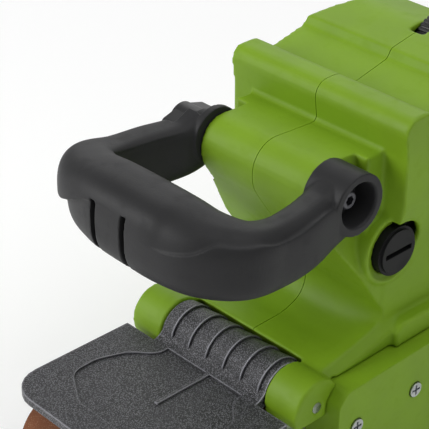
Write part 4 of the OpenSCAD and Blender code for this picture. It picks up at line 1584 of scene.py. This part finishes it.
@dataclass
class RearGrip(SubAssembly):
    """Soft sleeve over the rear handle.

    Attributes:
        rows: path of the rear handle; each row is x, z, half width and half height in millimetres.
        first: place on the path where the sleeve starts.
        last: place on the path where it ends.
        thick: thickness of the sleeve.
        sink: depth of its inner side below the handle's surface.
        lip: steps over which a lip would rise from nothing, and the step at which it begins.
        square: squareness of the sections.
        points: points of a section.
        stations: steps along the sleeve from one section to the next.
    """

    rows: tuple[tuple[float, ...], ...] = (
        (-88.0, 160.0, 15.0, 14.0),
        (-110.0, 161.0, 16.5, 16.0),
        (-138.0, 158.0, 16.5, 16.2),
        (-170.0, 150.0, 16.5, 16.0),
        (-198.0, 134.0, 16.0, 15.5),
        (-211.0, 112.0, 15.5, 15.0),
        (-206.0, 91.0, 15.5, 14.5),
        (-186.0, 76.0, 15.5, 13.5),
        (-156.0, 71.0, 15.0, 12.5),
        (-140.0, 71.0, 14.0, 12.0),
    )
    first: float = 8.0 / 3.0
    last: float = 15.0 / 3.0
    thick: float = 1.55
    sink: float = 0.6
    lip: Pair = (2.5, 0.8)
    square: float = 2.6
    points: int = 64
    stations: int = 60

    def ring(self, t: float, grow: float) -> Ring:
        """Section of the sleeve at one place.

        Args:
            t: place on the path.
            grow: how far the section lies outside the handle, in millimetres.

        Returns:
            The section's points in metres.
        """
        x, z, half_w, half_h = blend_rows(self.rows, t)
        ahead, behind = (blend_rows(self.rows, t + way * PATH_STEP) for way in (1.0, -1.0))
        along = Vector((ahead[0] - behind[0], 0.0, ahead[1] - behind[1])).normalized()
        power = 2.0 / self.square
        points: Ring = []
        for k in range(self.points):
            angle = 2.0 * math.pi * k / self.points
            c, s = math.cos(angle), math.sin(angle)
            across = (half_w + grow) * signed_power(c, power)
            up = (half_h + grow) * signed_power(s, power)
            points.append(Vector((x - up * along.z, across, z + up * along.x)) * MM)
        return points

    def build(self) -> None:
        """Makes the sleeve with rounded lips."""
        steps = range(self.stations + 1)
        stops = [self.first + (self.last - self.first) * k / self.stations for k in steps]
        rise, start = self.lip
        grows = [
            self.thick * smoothstep(0.0, rise, min(k, self.stations - k) + start) for k in steps
        ]
        outer = [self.ring(t, grow) for t, grow in zip(stops, grows)]
        inner = [self.ring(t, -self.sink) for t in reversed(stops)]
        # The skin runs back into its first ring, so the two end faces of the loft are left out
        verts, faces = loft([*outer, *inner, outer[0]])
        sleeve = joined("rear_grip_sleeve", [(verts, faces[:-2])])
        with editing(sleeve) as work:
            bmesh.ops.remove_doubles(work, verts=work.verts, dist=WELD)
            bmesh.ops.recalc_face_normals(work, faces=work.faces)
        self.take_over(sleeve, "rear_grip", Body.HOUSING, SOFT_GRIP)


@dataclass
class RollerCover(SubAssembly):
    """Grained cover over the front roller, on its hinge pin."""

    def solids(self) -> dict[Finish, Sequence[str]]:
        """The cover and its pin, by their finish."""
        return {COVER_GRAIN: ("front_cover",), STEEL: ("cover_hinge_pin",)}


@dataclass
class BeltRun(SubAssembly):
    """Base frame with the sanding belt, its front roller and the parts that tension it."""

    def solids(self) -> dict[Finish, Sequence[str]]:
        """Pieces under the housing, by their finish."""
        return {
            CAST_FRAME: ("base_frame", "tension_carriage"),
            STEEL: (
                "sole_plate",
                "front_roller_bearings",
                "front_axle",
                "tension_spring",
                "lever_pin",
            ),
            GRAPHITE_PAD: ("platen_pad",),
            BELT_GRIT: ("sanding_belt",),
            ROLLER_METAL: ("front_roller",),
            BLACK_PLASTIC: ("tension_lever", "tracking_knob"),
        }


@dataclass
class DriveTrain(SubAssembly):
    """Drive roller, toothed belt, cross shaft and bevel gears."""

    def solids(self) -> dict[Finish, Sequence[str]]:
        """Pieces between the motor and the sanding belt, by their finish."""
        return {
            ROLLER_METAL: ("drive_roller_core",),
            DRIVE_RUBBER: ("drive_roller_rubber", "timing_belt"),
            STEEL: (
                "drive_shaft",
                "drive_bearings",
                "drive_pulley",
                "cross_pulley",
                "cross_shaft",
                "cross_bearings",
                "crown_gear",
            ),
            SHAFT_STEEL: ("bevel_pinion",),
        }


@dataclass
class Motor(SubAssembly):
    """Armature with its fan, stator and brushes."""

    def solids(self) -> dict[Finish, Sequence[str]]:
        """Pieces of the motor, by their finish."""
        return {
            SHAFT_STEEL: ("armature_shaft",),
            CORE_SHEET: ("armature_core", "stator_core"),
            COPPER_WIRE: ("armature_windings", "field_coils"),
            COPPER_BARS: ("commutator",),
            BLACK_PLASTIC: ("motor_fan",),
            STEEL: ("motor_bearings", "brush_springs"),
            BRASS: ("brush_holders",),
            CARBON: ("carbon_brushes",),
        }


@dataclass
class Controls(SubAssembly):
    """Trigger, lock button and speed dial of the rear handle."""

    def solids(self) -> dict[Finish, Sequence[str]]:
        """Pieces of the switch, by their finish."""
        return {
            BLACK_PLASTIC: ("trigger", "speed_dial", "switch_body"),
            STEEL: ("trigger_pin",),
            RED_BUTTON: ("lock_button",),
        }


# Studio


@dataclass(frozen=True)
class SoftBox:
    """A square lamp with a soft face.

    Attributes:
        name: name of the lamp.
        place: where it stands, in metres.
        size: width of its face in metres.
        power: its power in watts.
    """

    name: str
    place: Point
    size: float
    power: float

    def build(self, aim: Point) -> None:
        """Adds the lamp.

        Args:
            aim: where it points, in metres.
        """
        data = bpy.data.lights.new(self.name, "AREA")
        data.shape = "SQUARE"
        data.size = self.size
        data.energy = self.power
        lamp = placed(self.name, data)
        lamp.location = self.place
        way = Vector(aim) - Vector(self.place)
        lamp.rotation_euler = way.to_track_quat("-Z", "Y").to_euler()


@dataclass
class Studio:
    """Pale floor, soft lights, sky and the camera.

    Attributes:
        eye: place of the camera in millimetres.
        turn: camera's direction seen from above, in degrees from +X towards +Y.
        tilt: camera's height above the horizon in degrees.
        lens: focal length in millimetres.
        sensor: width of the camera's sensor in millimetres.
        nearest: nearest distance that the camera shows, in metres.
        floor_half: half of the floor's width in metres.
        paper: tone of the floor's paper.
        paper_glow: light that the paper adds by itself.
        paper_rough: roughness of the paper.
        paper_gloss: strength of its reflections.
        boxes: the lamps.
        aim: where the lamps point, in metres.
        sky: strength of the sky's light.
        dim_side: tone of the sky on the tool's left, where the room is darker.
        dim_from_to: where, towards the left, the sky begins to darken and is darkest.
    """

    eye: Point = (434.3, 412.6, 464.2)
    turn: float = 47.0
    tilt: float = 30.5
    lens: float = 134.3
    sensor: float = 36.0
    nearest: float = 0.01
    floor_half: float = 9.0
    paper: Colour = (0.93, 0.93, 0.93)
    paper_glow: float = 0.1
    paper_rough: float = 0.95
    paper_gloss: float = 0.1
    boxes: tuple[SoftBox, ...] = (
        SoftBox("top_box", (-0.2, 0.5, 1.4), 1.5, 10.0),
        SoftBox("left_box", (1.3, -0.9, 0.8), 0.9, 18.0),
        SoftBox("right_box", (0.5, 1.5, 0.9), 1.0, 0.4),
        SoftBox("back_box", (-1.1, -1.0, 0.95), 1.2, 6.0),
    )
    aim: Point = (0.0, 0.0, 0.1)
    sky: float = 0.36
    dim_side: Colour = (0.65, 0.65, 0.65)
    dim_from_to: Pair = (-0.3, 0.7)

    def axes(self) -> tuple[Vector, Vector, Vector]:
        """Axes of the camera.

        Returns:
            Its right, up and backward directions.
        """
        p, q = math.radians(self.turn), math.radians(self.tilt)
        back = Vector((math.cos(q) * math.cos(p), math.cos(q) * math.sin(p), math.sin(q)))
        right = Vector((-math.sin(p), math.cos(p), 0.0))
        return right, back.cross(right), back

    def camera(self) -> None:
        """Adds the camera at the photograph's viewing angle."""
        data = bpy.data.cameras.new("studio_camera")
        data.lens = self.lens
        data.sensor_width = self.sensor
        data.clip_start = self.nearest
        eye = placed("studio_camera", data)
        turn = Matrix(self.axes()).transposed().to_4x4()
        eye.matrix_world = Matrix.Translation(Vector(self.eye) * MM) @ turn
        bpy.context.scene.camera = eye

    def floor(self) -> None:
        """Adds a wide, flat floor of pale paper."""
        h = self.floor_half
        corners = [Vector((x, y, 0.0)) for x, y in ((-h, -h), (h, -h), (h, h), (-h, h))]
        ground = new_object("studio_floor", corners, [(0, 1, 2, 3)])
        material = bpy.data.materials.new("studio_paper")
        material.use_nodes = True
        shader = material.node_tree.nodes["Principled BSDF"]
        looks = {
            "Base Color": (*self.paper, 1.0),
            "Emission Color": (1.0, 1.0, 1.0, 1.0),
            "Emission Strength": self.paper_glow,
            "Roughness": self.paper_rough,
            "Specular IOR Level": self.paper_gloss,
        }
        for name, value in looks.items():
            shader.inputs[name].default_value = value
        ground.data.materials.append(material)

    def surroundings(self) -> None:
        """Adds the sky, which is darker on the tool's left."""
        world = bpy.data.worlds.new("studio_world")
        world.use_nodes = True
        graph = Graph(world.node_tree)
        way = graph.node("ShaderNodeTexCoord", out="Generated")
        leftward = graph.node("ShaderNodeSeparateXYZ", {}, {0: way}, out="Y")
        tone = graph.mix(leftward.between(*self.dim_from_to), (1.0, 1.0, 1.0), self.dim_side)
        sky = world.node_tree.nodes["Background"]
        world.node_tree.links.new(tone.socket, sky.inputs["Color"])
        sky.inputs["Strength"].default_value = self.sky
        bpy.context.scene.world = world

    def build(self) -> None:
        """Sets up the whole studio."""
        self.camera()
        self.floor()
        for box in self.boxes:
            box.build(self.aim)
        self.surroundings()
        bpy.context.scene.view_settings.view_transform = "Standard"


def sub_assemblies() -> list[SubAssembly]:
    """All groups of the tool, in the order in which they are built."""
    return [
        Housing(),
        FrontHandle(),
        RearGrip(),
        RollerCover(),
        BeltRun(),
        DriveTrain(),
        Motor(),
        Controls(),
    ]


def main() -> None:
    """Builds the studio and dresses every piece of the tool."""
    logging.basicConfig(level=logging.INFO, format="%(name)s: %(message)s")
    Studio().build()
    for group in sub_assemblies():
        group.build()
        group.dress()


if __name__ == "__main__":
    main()
